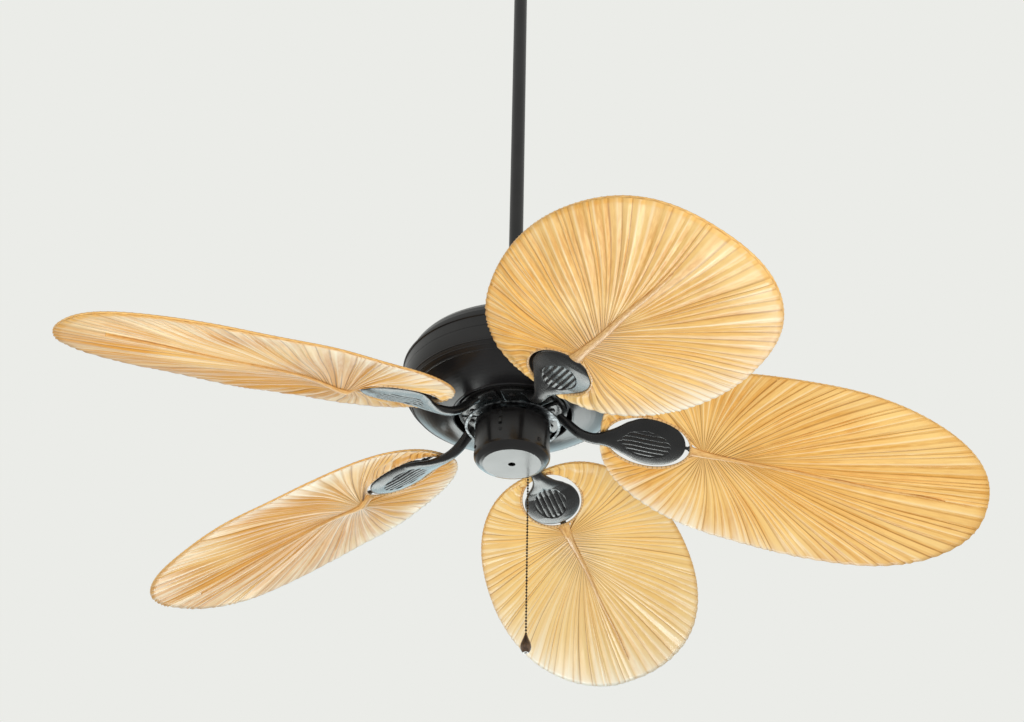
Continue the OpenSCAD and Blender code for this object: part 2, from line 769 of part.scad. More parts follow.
// Plated elbow that leads the chain out of the side of the housing and down
module chain_guide() {
  mid = (guide_top + guide_mouth) / 2;
  color(brass) hub() rotate([0, 0, chain_angle]) difference() {
    union() {
      translate([chain_r, 0, guide_mouth]) cylinder(r = guide_r, h = guide_top - guide_mouth);
      on_wall(switch_r - switch_wall, 0, mid)
        cylinder(r = guide_neck_r, h = chain_r - switch_r + switch_wall);
    }
    translate([chain_r, 0, guide_mouth - over]) cylinder(r = guide_bore_r, h = guide_top - guide_mouth - 1);
  }
}

// ---- pull chain

module on_chain() {
  hub() rotate([0, 0, chain_angle]) translate([chain_r, 0, guide_mouth]) children();
}

module beads(first, last) {
  for (i = [first : last]) translate([0, 0, -i * bead_pitch]) sphere(d = bead_d, $fn = 24);
  translate([0, 0, -last * bead_pitch]) cylinder(r = chain_wire_r, h = (last - first) * bead_pitch);
}

// The two beads that stay inside the guide
module chain_stub() {
  color(brass) on_chain() translate([0, 0, bead_pitch * 1.4]) beads(0, 1);
}

module pull_chain() {
  count = floor(chain_len / bead_pitch);
  color("#4b4436") on_chain() {
    translate([0, 0, bead_pitch * 0.45]) beads(1, count);
    translate([0, 0, -bead_pitch * 0.55]) cylinder(r = chain_wire_r, h = bead_pitch * 0.55 - 0.4);
  }
}

// Turned wooden fob with the clasp that grips the last bead
module chain_fob() {
  count = floor(chain_len / bead_pitch);
  top = bead_pitch * 0.45 - count * bead_pitch - bead_d / 2;
  foot = -fob_len * 14 / 15;
  // pear shape, widest towards the bottom
  function pear(t) = [1.8 + (fob_r - 1.8) * pow(sin(180 * pow(t, 1.5)), 0.8), -fob_len * t];
  color("#3b2416") on_chain() translate([0, 0, top]) rotate_extrude() polygon(concat(
    [[0, 0]],
    [for (i = [0 : 14]) pear(i / 15)],
    [[fob_hole_r, foot], [fob_hole_r, foot + 4], [0, foot + 4]]));
}

// ---- blades

// stands children on the screw places of foot k
module foot_screws(k) {
  for (side = [-1, 1]) rotate([0, 0, blade_angle(k) + side * foot_screw_angle])
    translate([foot_screw_r, 0, 0]) children();
}

// Sections of an arm: [distance out, height, half width, half thickness, slope, roll, corner power].
// The neck comes down out of the bowl, and the last sections follow the oval of the paddle.
function neck_sections(k) = let (w = neck_w / 2, t = neck_w * 0.37, p = blade_pitch(k), c = cup_set[k]) [
  [60, 27, w + 4, 2.6, 0, 0, 3],
  [69, 24, w + 2, t - 1, -30, 0, 2.4],
  [77, 16.5 - c * 0.1, w, t, -45, 0, 2.2],
  [85, 8 - c * 0.3, w, t, -43, p * 0.1, 2.1],
  [94, 0.5 - c * 0.6, w, t, -33 - c * 0.5, p * 0.25, 2.1],
  [106, -4.8 - c * 0.9, w, t, -12 - c * 0.5, p * 0.5, 2.1],
  [118, -6.8 - c, w + 0.6, t - 0.4, -3, p * 0.8, 2.1]];
function neck_ring(s, sides) = [for (j = [0 : sides - 1])
  [s[0], 0, s[1]] + tip(oval(j * 360 / sides, s[2], s[3], s[6]), -s[4], s[5])];
// point of a rounded oval at angle a, across and above
function oval(a, half_w, half_t, power) = [0,
  half_w * sign(cos(a)) * pow(abs(cos(a)), 2 / power),
  half_t * sign(sin(a)) * pow(abs(sin(a)), 2 / power)];
function paddle_ring(k, s, sides) = [for (j = [0 : sides - 1])
  let (q = oval(j * 360 / sides, s[2], s[3], s[4])) on_blade(k, s[0], q[1], q[2] + s[1])];
// paddle sections: [along, above, half width, half thickness, corner power]
function paddle_sections() = let (a = paddle_len / 2, b = paddle_w / 2, t = paddle_t / 2) concat(
  [[130, -8.7, neck_w / 2 + 2, 5.4, 2.2], [141, -7, neck_w / 2 + 6, 5, 2.4]],
  [for (q = [26, 37, 50, 64, 80, 97, 114, 130, 144, 156, 166])
    let (root = max(0, (64 - q) / 38))
    [paddle_u - a * cos(q), paddle_drop - 2.4 * root, b * sin(q), t + 1.4 * root - (q > 150 ? 0.8 : 0), 2.8]],
  [[paddle_u + a, paddle_drop, b * 0.1, t - 1.4, 2.8]]);

// Cast arm: a ring-segment foot, a round neck and a dished, slotted oval paddle
module blade_arm(k) {
  sides = 16;
  rings = concat(
    [for (s = neck_sections(k)) neck_ring(s, sides)],
    [for (s = paddle_sections()) paddle_ring(k, s, sides)]);
  color(black) {
    at_blade(k) difference() {
      union() {
        translate([0, 0, foot_top - foot_t]) rotate([0, 0, -foot_angle / 2])
          rotate_extrude(angle = foot_angle, $fn = 96) translate([foot_r[0], 0])
          square([foot_r[1] - foot_r[0], foot_t]);
        skin(rings);
      }
      for (side = [-1, 1]) rotate([0, 0, side * foot_screw_angle])
        translate([foot_screw_r, 0, 0]) cylinder(r = screw_r, h = 2 * foot_top);
      translate(blade_root(k)) rotate([0, blade_droop(k), 0]) rotate([-blade_pitch(k), 0, 0])
        translate([-root_r, 0, 0]) {
          paddle_slots();
          for (u = clamp_screws) translate([u, 0, paddle_drop - 1]) rotate(90) cylinder(r = screw_r, h = 2 * paddle_t);
        }
    }
  }
}

// Long slots side by side across the paddle, the outer ones shorter
slots_u = paddle_u - 5;
module paddle_slots() {
  pitch = paddle_w * 0.56 / slot_count;
  for (i = [0 : slot_count - 1]) {
    y = (i - (slot_count - 1) / 2) * pitch;
    half = paddle_len * 0.345 * sqrt(1 - pow(y / (paddle_w * 0.36), 2));
    translate([slots_u, y, paddle_drop - paddle_t]) {
      for (end = [-1, 1]) translate([end * (half - slot_w / 2), 0, 0]) cylinder(d = slot_w, h = 2 * paddle_t);
      translate([-half + slot_w / 2, -slot_w / 2, 0]) cube([2 * half - slot_w, slot_w, 2 * paddle_t]);
    }
  }
}

// Half size of the leaf's oval hoop, along and across
hole_a = paddle_len / 2 + hoop_end_gap + hoop_r;
hole_b = paddle_w / 2 + hoop_gap + hoop_r;
// the hoop sits a little nearer to the hub than the paddle, and so do the paddle's slots
hole_u = paddle_u - 4;
// places of the clamp's screws along the leaf: two into the paddle, and two that pinch the hoop
clamp_screws = [slots_u - paddle_len * 0.44, slots_u + paddle_len * 0.44];
// the near one stands inside the hoop, clear of the cane on the leaf's root edge
hoop_screws = [root_r + rim_cane[0] + clamp_pad + 0.3, hole_u + hole_a];

// Edge of a leaf at angle t: an egg, wider towards its tip, with one side leaning outwards
function leaf_edge(k, t) = let (
    s = pow(0.5 - 0.5 * cos(t), 1.15),
    v = leaf_w / 2 * sign(sin(t)) * pow(abs(sin(t)), 0.886) * (1 + 0.223 * (s - 0.5)))
  [root_r + 0.5 + (leaf_len + length_set[k]) * s + leaf_lean * v, v];
// Height of the edge at point q: the leaf is dished, and level with its hoop only at the root
function edge_rise(k, q) =
  cup_set[k] * max(0, min(1, (norm(q - [hole_u, 0]) - hole_a) / (leaf_w / 2 - hole_a)));
// Even steps round the edge, which would otherwise crowd at both ends
function edge_angle(i, count) = let (t = i * 360 / count) t + 7.9 * sin(2 * t);
// Where the line from the stem's end to an edge point enters the leaf, past the hole if it crosses it
function leaf_start(edge) = let (
    d = edge - [hastula_u, 0],
    len_d = norm(d),
    e = d / len_d,
    fx = (hastula_u - hole_u) / hole_a,
    ex = e[0] / hole_a,
    ey = e[1] / hole_b,
    qa = ex * ex + ey * ey,
    qb = 2 * fx * ex,
    qc = fx * fx - 1,
    disc = qb * qb - 4 * qa * qc,
    far = disc > 0 ? (-qb + sqrt(disc)) / (2 * qa) : -1)
  [hastula_u, 0] + e * max(far, 7);

// Pleated palm leaf: every second line from the stem's end stands up, and the ones between lie down
module palm_leaf(k) {
  count = 2 * fold_count;
  half_t = leaf_t / 2;
  far = leaf_len + root_r - hastula_u;
  edges = [for (i = [0 : count - 1]) leaf_edge(k, edge_angle(i + 0.5, count))];
  // height of a fold at a point, growing with the distance from the stem's end
  function fold(i, p) = (i % 2 == 0 ? 1 : -1) * fold_depth / 2 * min(1, norm(p - [hastula_u, 0]) / far * 1.6);
  rings = [for (i = [0 : count - 1]) let (q = edges[i], p = leaf_start(q)) [
    [p[0], p[1], fold(i, p) - half_t],
    [q[0], q[1], edge_rise(k, q) + fold(i, q) - half_t],
    [q[0], q[1], edge_rise(k, q) + fold(i, q) + half_t],
    [p[0], p[1], fold(i, p) + half_t]]];
  color(palm) in_leaf(k) skin_loop(rings);
}

// Cane bound round the leaf's edge, the hoop round its hole, and the leaf's own stem
module leaf_frame(k) {
  rim = [for (i = [0 : fold_count - 1]) let (
      a = edge_angle(i, fold_count),
      q = leaf_edge(k, a),
      ahead = leaf_edge(k, a + 1) - leaf_edge(k, a - 1),
      inner = q - [-ahead[1], ahead[0]] / norm(ahead) * rim_cane[0],
      low = edge_rise(k, q) + fold_depth / 2 - 1)
    [[inner[0], inner[1], low], [q[0], q[1], low],
     [q[0], q[1], low + rim_cane[1]], [inner[0], inner[1], low + rim_cane[1]]]];
  color(cane) in_leaf(k) {
    skin_loop(rim);
    translate([hole_u, 0, 0]) scale([hole_a / hole_b, 1, 1])
      rotate_extrude($fn = 96) translate([hole_b, 0]) circle(r = hoop_r, $fn = 24);
    skin(stem_rings(k));
  }
}

// The stem stands on the hoop, swells where the folds meet, and thins out along the leaf
function stem_rings(k) = let (tip_u = root_r + leaf_len + length_set[k]) [
  for (s = [[0, 8.5, 2.6], [14, 8, 3.2], [26, 6, 3.6], [60, 4, 3], [140, 2.8, 2.4], [260, 1.5, 1.6]])
  let (u = hole_u + hole_a + s[0], rise = cup_set[k] * max(0, u - hastula_u) / (tip_u - hastula_u))
  [for (j = [0 : 7]) [u, s[1] * cos(j * 45), rise + s[2] * sin(j * 45) - 1]]];

// Plate with straight sides and round ends
module stadium(half_len, half_w, height) {
  for (end = [-1, 1]) translate([end * (half_len - half_w), 0, 0]) cylinder(r = half_w, h = height);
  translate([half_w - half_len, -half_w, 0]) cube([2 * (half_len - half_w), 2 * half_w, height]);
}

// Frame on top of the paddle, open over the slots, whose two straps reach over the hoop and hold it down
module blade_clamp(k) {
  low = paddle_drop + paddle_t / 2;
  top = hoop_r + clamp_t;
  window = [paddle_len * 0.37, paddle_w * 0.28];
  color(black) in_leaf(k) difference() {
    union() {
      translate([slots_u, 0, low]) stadium(window[0] + clamp_bar, window[1] + clamp_bar, top - low);
      for (u = clamp_screws) translate([u, 0, low]) cylinder(r = clamp_pad, h = top - low);
      for (u = hoop_screws) translate([u, 0, hoop_r]) cylinder(r = clamp_pad - 1, h = clamp_t);
      translate([hole_u - hole_a, -clamp_w / 2, hoop_r]) cube([2 * hole_a, clamp_w, clamp_t]);
    }
    translate([slots_u, 0, low - over]) stadium(window[0], window[1], top - low + 2 * over);
    for (u = concat(clamp_screws, hoop_screws)) translate([u, 0, low - over]) cylinder(r = screw_r, h = 20);
  }
}

module arm_screws() {
  color(zinc) hub() for (k = [0 : blade_count - 1])
    translate([0, 0, foot_top - foot_t]) foot_screws(k) screw(4.4, screw_r, foot_t + flywheel_t - 1);
}

module blade_screws() {
  color(zinc) for (k = [0 : blade_count - 1]) in_leaf(k) {
    for (u = clamp_screws) translate([u, 0, hoop_r + clamp_t]) rotate([180, 0, 0])
      screw(4, screw_r, hoop_r + clamp_t - paddle_drop + 1);
    for (u = hoop_screws) translate([u, 0, hoop_r + clamp_t]) rotate([180, 0, 0])
      screw(3.4, screw_r, clamp_t);
  }
}

// ---- assembly

hanger_bracket();
canopy();
canopy_screws();
hanger_ball();
ball_pin();
ball_set_screw();
downrod();
supply_cable();
coupling_cover();
motor_yoke();
yoke_pin();
yoke_set_screws();
upper_housing();
lower_housing();
housing_screws();
motor_shaft();
stator_core();
stator_windings();
rotor_ring();
lower_end_bell();
upper_end_bell();
lower_bearing();
upper_bearing();
flywheel();
switch_plate();
switch_plate_screws();
switch_housing();
switch_cap();
switch_housing_screws();
pull_switch();
reverse_switch();
reverse_slider();
capacitor();
chain_guide();
chain_stub();
pull_chain();
chain_fob();
arm_screws();
blade_screws();
blade_arm(0);  // blade_arm_1
blade_arm(1);  // blade_arm_2
blade_arm(2);  // blade_arm_3
blade_arm(3);  // blade_arm_4
blade_arm(4);  // blade_arm_5
palm_leaf(0);  // palm_leaf_1
palm_leaf(1);  // palm_leaf_2
palm_leaf(2);  // palm_leaf_3
palm_leaf(3);  // palm_leaf_4
palm_leaf(4);  // palm_leaf_5
leaf_frame(0);  // leaf_frame_1
leaf_frame(1);  // leaf_frame_2
leaf_frame(2);  // leaf_frame_3
leaf_frame(3);  // leaf_frame_4
leaf_frame(4);  // leaf_frame_5
blade_clamp(0);  // blade_clamp_1
blade_clamp(1);  // blade_clamp_2
blade_clamp(2);  // blade_clamp_3
blade_clamp(3);  // blade_clamp_4
blade_clamp(4);  // blade_clamp_5
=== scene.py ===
import math

import bpy
import numpy as np
from mathutils import Matrix, Vector


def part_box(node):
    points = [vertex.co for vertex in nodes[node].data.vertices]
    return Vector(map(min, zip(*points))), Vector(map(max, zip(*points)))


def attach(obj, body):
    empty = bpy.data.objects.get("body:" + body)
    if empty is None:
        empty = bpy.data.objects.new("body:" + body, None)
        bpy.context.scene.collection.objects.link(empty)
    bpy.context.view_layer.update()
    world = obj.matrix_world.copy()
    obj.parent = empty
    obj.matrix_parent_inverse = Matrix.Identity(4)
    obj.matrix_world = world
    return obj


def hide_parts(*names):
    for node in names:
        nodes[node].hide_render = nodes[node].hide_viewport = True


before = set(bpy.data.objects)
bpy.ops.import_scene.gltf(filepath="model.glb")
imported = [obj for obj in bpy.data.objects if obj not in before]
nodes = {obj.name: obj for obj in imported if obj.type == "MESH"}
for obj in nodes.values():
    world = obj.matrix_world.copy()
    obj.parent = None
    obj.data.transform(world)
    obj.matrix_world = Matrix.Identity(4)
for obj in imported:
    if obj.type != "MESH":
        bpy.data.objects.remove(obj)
bpy.context.view_layer.update()

# Camera. It stands about 1.2 m below the blades, a little left of the
# rod, and looks up. Its place was fitted to the outlines of the leaves.
photo_size = (1024, 722)
focal_pixels = 1747.8
camera_place = Vector((-0.1938, -2.0831, -2.3559))
camera_turns = (math.radians(-5.24567), math.radians(123.25971), math.radians(1.13679))
camera = bpy.data.objects.new("camera", bpy.data.cameras.new("camera"))
bpy.context.scene.collection.objects.link(camera)
camera.data.sensor_width = 36.0
camera.data.lens = focal_pixels * camera.data.sensor_width / photo_size[0]
camera.matrix_world = (
    Matrix.Translation(camera_place)
    @ Matrix.Rotation(camera_turns[0], 4, "Z")
    @ Matrix.Rotation(camera_turns[1], 4, "X")
    @ Matrix.Rotation(camera_turns[2], 4, "Z")
)
bpy.context.scene.camera = camera


# Hanger bracket. Zinc-plated steel strip, bent to a cradle and screwed to
# the ceiling's outlet box. The canopy hides it.
def srgb(red, green, blue):
    """Linear colour of an 8-bit sRGB one: c / 12.92 up to 0.04045, else ((c + 0.055) / 1.055)^2.4."""
    parts = [value / 255 for value in (red, green, blue)]
    return tuple(p / 12.92 if p <= 0.04045 else ((p + 0.055) / 1.055) ** 2.4 for p in parts) + (1.0,)


def add(tree, kind, links=None, **settings):
    """Puts a node in a tree. links holds, by an input's name or number, its value or what feeds it."""
    node = tree.nodes.new(kind)
    for name, value in settings.items():
        setattr(node, name, value)
    for name, value in (links or {}).items():
        if isinstance(value, bpy.types.NodeSocket):
            tree.links.new(value, node.inputs[name])
        else:
            node.inputs[name].default_value = value
    return node


def mix(tree, factor, first, second):
    """Colour mix: first (1 - factor) + second factor. 6 and 7 are the node's two colour sockets."""
    return add(tree, "ShaderNodeMix", {"Factor": factor, 6: first, 7: second}, data_type="RGBA").outputs[2]


def maths(tree, operation, *values, clamp=False):
    """One sum on two or three values or sockets."""
    links = dict(enumerate(values))
    return add(tree, "ShaderNodeMath", links, operation=operation, use_clamp=clamp).outputs[0]


def span(tree, value, low, high, first=0.0, last=1.0):
    """Value carried from low..high to first..last along a smooth step."""
    links = {"Value": value, "From Min": low, "From Max": high, "To Min": first, "To Max": last}
    return add(tree, "ShaderNodeMapRange", links, interpolation_type="SMOOTHSTEP").outputs["Result"]


def node_group(name, inputs):
    """New shader node group with named inputs of given kinds, and a colour, a roughness and a height out."""
    group = bpy.data.node_groups.new(name, "ShaderNodeTree")
    for label, kind in inputs.items():
        group.interface.new_socket(label, in_out="INPUT", socket_type="NodeSocket" + kind)
    for label, kind in (("Colour", "Color"), ("Roughness", "Float"), ("Height", "Float")):
        group.interface.new_socket(label, in_out="OUTPUT", socket_type="NodeSocket" + kind)
    return group, group.nodes.new("NodeGroupInput"), group.nodes.new("NodeGroupOutput")


def noise(tree, place, scale, detail):
    """Noise value of a place, with so many waves to each of its units."""
    return add(tree, "ShaderNodeTexNoise", {"Vector": place, "Scale": scale, "Detail": detail}).outputs["Fac"]


def wear_and_glint_mottle():
    """Group that varies a finish by noise: the colour by patches, the roughness by patches and grain, which
    add spread (patches + grain - 1), and the height by grain."""
    group, inside, outside = node_group(
        "wear_and_glint_mottle",
        {
            "Colour": "Color", "Second colour": "Color", "Patch scale": "Float", "Grain scale": "Float",
            "Roughness": "Float", "Roughness spread": "Float",
        },
    )
    given = inside.outputs
    place = add(group, "ShaderNodeTexCoord").outputs["Object"]
    patches = noise(group, place, given["Patch scale"], 4.0)
    grain = noise(group, place, given["Grain scale"], 3.0)
    colour = mix(group, span(group, patches, 0.35, 0.68), given["Colour"], given["Second colour"])
    both = maths(group, "SUBTRACT", maths(group, "ADD", patches, grain), 1.0)
    rough = maths(group, "MULTIPLY_ADD", both, given["Roughness spread"], given["Roughness"], clamp=True)
    group.links.new(colour, outside.inputs["Colour"])
    group.links.new(rough, outside.inputs["Roughness"])
    group.links.new(grain, outside.inputs["Height"])
    return group


wear_and_glint_group = wear_and_glint_mottle()


def new_shader(name, **constants):
    """Principled material with constants such as Metallic=1.0, as (material, tree, shader)."""
    material = bpy.data.materials.new(name)
    material.use_nodes = True
    shader = material.node_tree.nodes["Principled BSDF"]
    for label, value in constants.items():
        shader.inputs[label.replace("_", " ")].default_value = value
    return material, material.node_tree, shader


def finish_with(tree, shader, colour, roughness, height, strength, distance):
    """Feeds a shader its colour, its roughness and, through a bump of so many metres, its relief."""
    relief = add(tree, "ShaderNodeBump", {"Height": height, "Strength": strength, "Distance": distance})
    tree.links.new(colour, shader.inputs["Base Color"])
    tree.links.new(roughness, shader.inputs["Roughness"])
    tree.links.new(relief.outputs["Normal"], shader.inputs["Normal"])


def wear_and_glint_material(name, colour, second, roughness, spread, patch=20.0, grain=900.0, bump=0.05, **constants):
    """Material whose colour, roughness and bump come from the wear_and_glint_mottle group."""
    material, tree, shader = new_shader(name, **constants)
    values = {
        "Colour": colour, "Second colour": second, "Patch scale": patch, "Grain scale": grain,
        "Roughness": roughness, "Roughness spread": spread,
    }
    mottle = add(tree, "ShaderNodeGroup", values, node_tree=wear_and_glint_group).outputs
    finish_with(tree, shader, mottle["Colour"], mottle["Roughness"], mottle["Height"], bump, 0.0005)
    return material


def dress(name, material):
    """Gives a CAD node its material, in place of any it had."""
    nodes[name].data.materials.clear()
    nodes[name].data.materials.append(material)


zinc_plate = wear_and_glint_material(
    "zinc_plate", srgb(176, 178, 180), srgb(150, 153, 157), 0.28, 0.22, patch=45.0, Metallic=1.0
)
dress("hanger_bracket", zinc_plate)

# Canopy. Spun steel bell in satin black enamel, held to the bracket's ears
# by two screws in the same enamel. It lies above the photograph's edge.
black_enamel = wear_and_glint_material(
    "black_enamel", srgb(21, 20, 21), srgb(28, 27, 28), 0.34, 0.12, grain=1400.0, Specular_IOR_Level=0.42
)
dress("canopy", black_enamel)
dress("canopy_screws", black_enamel)

# Hanger ball. Moulded resin ball that sits in the bracket's cradle, with a
# steel pin through the rod and a set screw against it.
ball_resin = wear_and_glint_material(
    "ball_resin", srgb(44, 42, 41), srgb(60, 57, 54), 0.5, 0.15, patch=60.0, grain=1100.0
)
dress("hanger_ball", ball_resin)
dress("ball_pin", zinc_plate)
dress("ball_set_screw", zinc_plate)

# Downrod and supply cable. The rod is a steel tube in black enamel, pinned
# at both ends. The grey loom of supply wires runs down inside it.
wire_jacket = wear_and_glint_material("wire_jacket", srgb(196, 194, 188), srgb(172, 168, 160), 0.45, 0.1, patch=70.0)
dress("downrod", black_enamel)
dress("supply_cable", wire_jacket)

# Coupling. A steel yoke on the motor's top takes the rod, its pin and two
# set screws, and an enamelled bell slides down over them.
dress("coupling_cover", black_enamel)
for name in ("motor_yoke", "yoke_pin", "yoke_set_screws"):
    dress(name, zinc_plate)

# Motor housing. A pressed bowl with three ridges and a rolled lip, and a
# domed top with cooling slots. Three screws join them at the seam.
housing_enamel = wear_and_glint_material(
    "housing_enamel", srgb(20, 19, 20), srgb(27, 26, 27), 0.30, 0.10,
    patch=14.0, grain=1500.0, bump=0.03, Specular_IOR_Level=0.42,
)
dress("upper_housing", housing_enamel)
dress("lower_housing", housing_enamel)
dress("housing_screws", zinc_plate)

# Motor. A fixed shaft carries the slotted stator and its copper windings,
# and two cast bells on bearings carry the rotor ring round them.
lamination_steel = wear_and_glint_material(
    "lamination_steel", srgb(112, 114, 117), srgb(84, 86, 90), 0.5, 0.2, patch=90.0, bump=0.3, Metallic=1.0
)
copper_winding = wear_and_glint_material(
    "copper_winding", srgb(176, 92, 48), srgb(128, 60, 30), 0.35, 0.15, patch=120.0, bump=0.4, Metallic=1.0
)
motor_casting = wear_and_glint_material(
    "motor_casting", srgb(150, 152, 154), srgb(116, 118, 121), 0.55, 0.2, patch=50.0, bump=0.3, Metallic=1.0
)
bearing_steel = wear_and_glint_material(
    "bearing_steel", srgb(198, 199, 201), srgb(170, 172, 176), 0.2, 0.12, patch=110.0, Metallic=1.0
)
dress("motor_shaft", zinc_plate)
dress("stator_core", lamination_steel)
dress("stator_windings", copper_winding)
dress("rotor_ring", lamination_steel)
for end in ("lower", "upper"):
    dress(f"{end}_end_bell", motor_casting)
    dress(f"{end}_bearing", bearing_steel)

# Flywheel. Cast ring in black under the lower bell, which turns with the
# rotor and takes the feet of the five blade arms.
cast_black = wear_and_glint_material(
    "cast_black", srgb(24, 23, 23), srgb(33, 32, 31), 0.38, 0.14,
    grain=700.0, bump=0.14, Specular_IOR_Level=0.5,
)
dress("flywheel", cast_black)

# Switch plate. Zinc-plated disc with three windows on the shaft's end. Its
# bright rim shows between the feet of the arms.
# The zinc's light and dark patches are painted glints and painted dark reflections.
zinc_painted_glints = wear_and_glint_material(
    "zinc_painted_glints", srgb(104, 107, 109), srgb(34, 35, 36), 0.3, 0.2, patch=150.0, bump=0.25, Metallic=1.0
)
dress("switch_plate", zinc_painted_glints)
dress("switch_plate_screws", zinc_plate)

# Switch housing. A straight drum and a turned cap with a hole for a lamp,
# both in black enamel, which three small screws hold together.
switch_enamel = wear_and_glint_material(
    "switch_enamel", srgb(19, 18, 18), srgb(25, 24, 24), 0.24, 0.08,
    patch=40.0, grain=1600.0, bump=0.03, Specular_IOR_Level=0.5,
)
dress("switch_housing", switch_enamel)
dress("switch_cap", switch_enamel)
dress("switch_housing_screws", black_enamel)

# Switches. A pull switch and a reversing switch in dark moulded bodies,
# with the capacitor beside them. Only the black slider shows.
switch_body = wear_and_glint_material("switch_body", srgb(72, 70, 68), srgb(92, 89, 85), 0.5, 0.12, patch=80.0)
slider_black = wear_and_glint_material("slider_black", srgb(22, 22, 22), srgb(40, 40, 40), 0.35, 0.1, patch=300.0)
for name in ("pull_switch", "reverse_switch", "capacitor"):
    dress(name, switch_body)
dress("reverse_slider", slider_black)


# Pull chain. A brass bead chain hangs from the guide on the housing's side
# and ends in a turned dark wood fob. Beads and wire are one surface.
def ring_faces(rows, columns, close_rows, close_columns):
    """Quads of a grid of rows x columns points, wrapped round in either direction."""
    r = np.arange(rows if close_rows else rows - 1)[:, None]
    c = np.arange(columns if close_columns else columns - 1)[None, :]
    r_next, c_next = (r + 1) % rows, (c + 1) % columns
    corners = [r * columns + c, r * columns + c_next, r_next * columns + c_next, r_next * columns + c]
    return np.stack(corners, -1).reshape(-1, 4)


def swept(path, side, up, half_side, half_up, segments):
    """Oval section carried along a path, as path x section x 3: p + side a cos q + up b sin q."""
    q = np.linspace(0, 2 * np.pi, segments, endpoint=False)
    a = np.broadcast_to(half_side, path.shape[:1])[:, None, None]
    b = np.broadcast_to(half_up, path.shape[:1])[:, None, None]
    side, up = (np.broadcast_to(axis, path.shape)[:, None, :] for axis in (side, up))
    return path[:, None, :] + side * a * np.cos(q)[None, :, None] + up * b * np.sin(q)[None, :, None]


def end_caps(rows, columns):
    """Faces that close the first and the last ring of a swept piece."""
    return [np.arange(columns)[::-1], np.arange(columns) + columns * (rows - 1)]


def mesh_piece(name, points, quads, material, body, caps=(), values=None):
    """Smooth object at the origin from points, quads and end caps, with one value per point for each name."""
    points = points.reshape(-1, 3)
    corners = np.concatenate([quads.ravel(), *[np.asarray(cap) for cap in caps]]).astype(np.int32)
    sizes = np.concatenate([np.full(len(quads), 4), [len(cap) for cap in caps]]).astype(np.int32)
    mesh = bpy.data.meshes.new(name)
    mesh.vertices.add(len(points))
    mesh.vertices.foreach_set("co", np.asarray(points, np.float32).ravel())
    mesh.loops.add(len(corners))
    mesh.loops.foreach_set("vertex_index", corners)
    mesh.polygons.add(len(sizes))
    mesh.polygons.foreach_set("loop_start", np.concatenate([[0], np.cumsum(sizes)[:-1]]).astype(np.int32))
    mesh.polygons.foreach_set("use_smooth", np.full(len(sizes), True))
    for label, value in (values or {}).items():
        value = np.asarray(value, np.float32)
        kind = "FLOAT_VECTOR" if value.ndim == 2 else "FLOAT"
        layer = mesh.attributes.new(label, kind, "POINT")
        layer.data.foreach_set("vector" if value.ndim == 2 else "value", value.ravel())
    mesh.update(calc_edges=True)
    mesh.validate()
    mesh.materials.append(material)
    piece = bpy.data.objects.new(name, mesh)
    bpy.context.scene.collection.objects.link(piece)
    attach(piece, body)
    return piece


# the plane of the blades' row lies below the rod's foot, and the chain starts at its guide
row_drop = 0.158
hub_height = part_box("downrod")[0].z - row_drop
chain_top = Vector((0.02817, 0.05298, hub_height - 0.024))
bead_radius = 0.0016
bead_pitch = 0.0046
bead_count = 56
first_bead = 0.00253
# angle in radians from a bead's pole to where the wire leaves it, so that the wire is 1 mm thick
bead_neck = 0.32
bead_rings = 9
chain_sides = 12

chain_brass = wear_and_glint_material(
    "chain_brass", srgb(112, 96, 72), srgb(58, 48, 38), 0.3, 0.2, patch=220.0, Metallic=1.0
)
fob_wood = wear_and_glint_material(
    "fob_wood", srgb(88, 64, 42), srgb(46, 32, 22), 0.32, 0.12,
    patch=130.0, Coat_Weight=0.4, Coat_Roughness=0.2,
)
for name in ("chain_guide", "chain_stub"):
    dress(name, chain_brass)
dress("chain_fob", fob_wood)


def bead_profile():
    """Distances and radii of the chain: each bead is a half circle (c - r cos q, r sin q), joined by wire."""
    q = np.linspace(bead_neck, np.pi - bead_neck, bead_rings)
    centre = first_bead + bead_pitch * np.arange(bead_count)
    distance = (centre[:, None] - bead_radius * np.cos(q)).ravel()
    return distance, np.tile(bead_radius * np.sin(q), bead_count)


distance, radius = bead_profile()
chain_axis = np.array(chain_top) - np.outer(distance, [0, 0, 1.0])
bead_chain = mesh_piece(
    "bead_chain",
    swept(chain_axis, (1.0, 0, 0), (0, -1.0, 0), radius, radius, chain_sides),
    ring_faces(len(distance), chain_sides, False, True),
    chain_brass,
    "chain",
    end_caps(len(distance), chain_sides),
)
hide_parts("pull_chain")

# Blade arms. Each is one casting in satin black: a foot screwed under the
# flywheel, a round neck and a spoon paddle, whose lower face bulges and has
# an oval recess with six round ribs. The leaves' own places stand here too.
blade_count = 5
first_blade = 211.3
root_radius = 0.122
root_height = 0.0036
# natural leaves differ: turn, droop and pitch in degrees, length and cup in metres, how far the stem's end
# hangs down, where the rib's last folds start, how brown it dried (pale if below nothing), whether a corner
# by the hoop is open, and how much light comes through its edge at some turns in degrees
leaf_names = ("turn", "droop", "pitch", "length", "cup", "hang", "rib", "tone", "open", "shine")
leaf_table = [
    (-1.3, 10.0, 18.5, 0.546, 0.0015, 0.010, 0.09, 0.55, False, {60: 0.6}),
    (0.0, 13.9, 23.5, 0.570, 0.0015, 0.001, 0.10, -0.15, False, {60: 1.0}),
    (1.0, 10.8, 19.0, 0.541, 0.0005, 0.001, 0.06, 0.05, True, {50: 0.8}),
    (-1.3, 9.1, 14.5, 0.572, 0.002, 0.005, 0.09, -0.5, True, {150: 1.0}),
    (1.4, 13.9, 17.5, 0.505, 0.0015, 0.008, 0.05, 0.55, False, {60: 0.9, 305: 1.0}),
]
leaf_set = [dict(zip(leaf_names, row)) for row in leaf_table]
arm_rings = 130
lower_columns = 160
upper_columns = 40
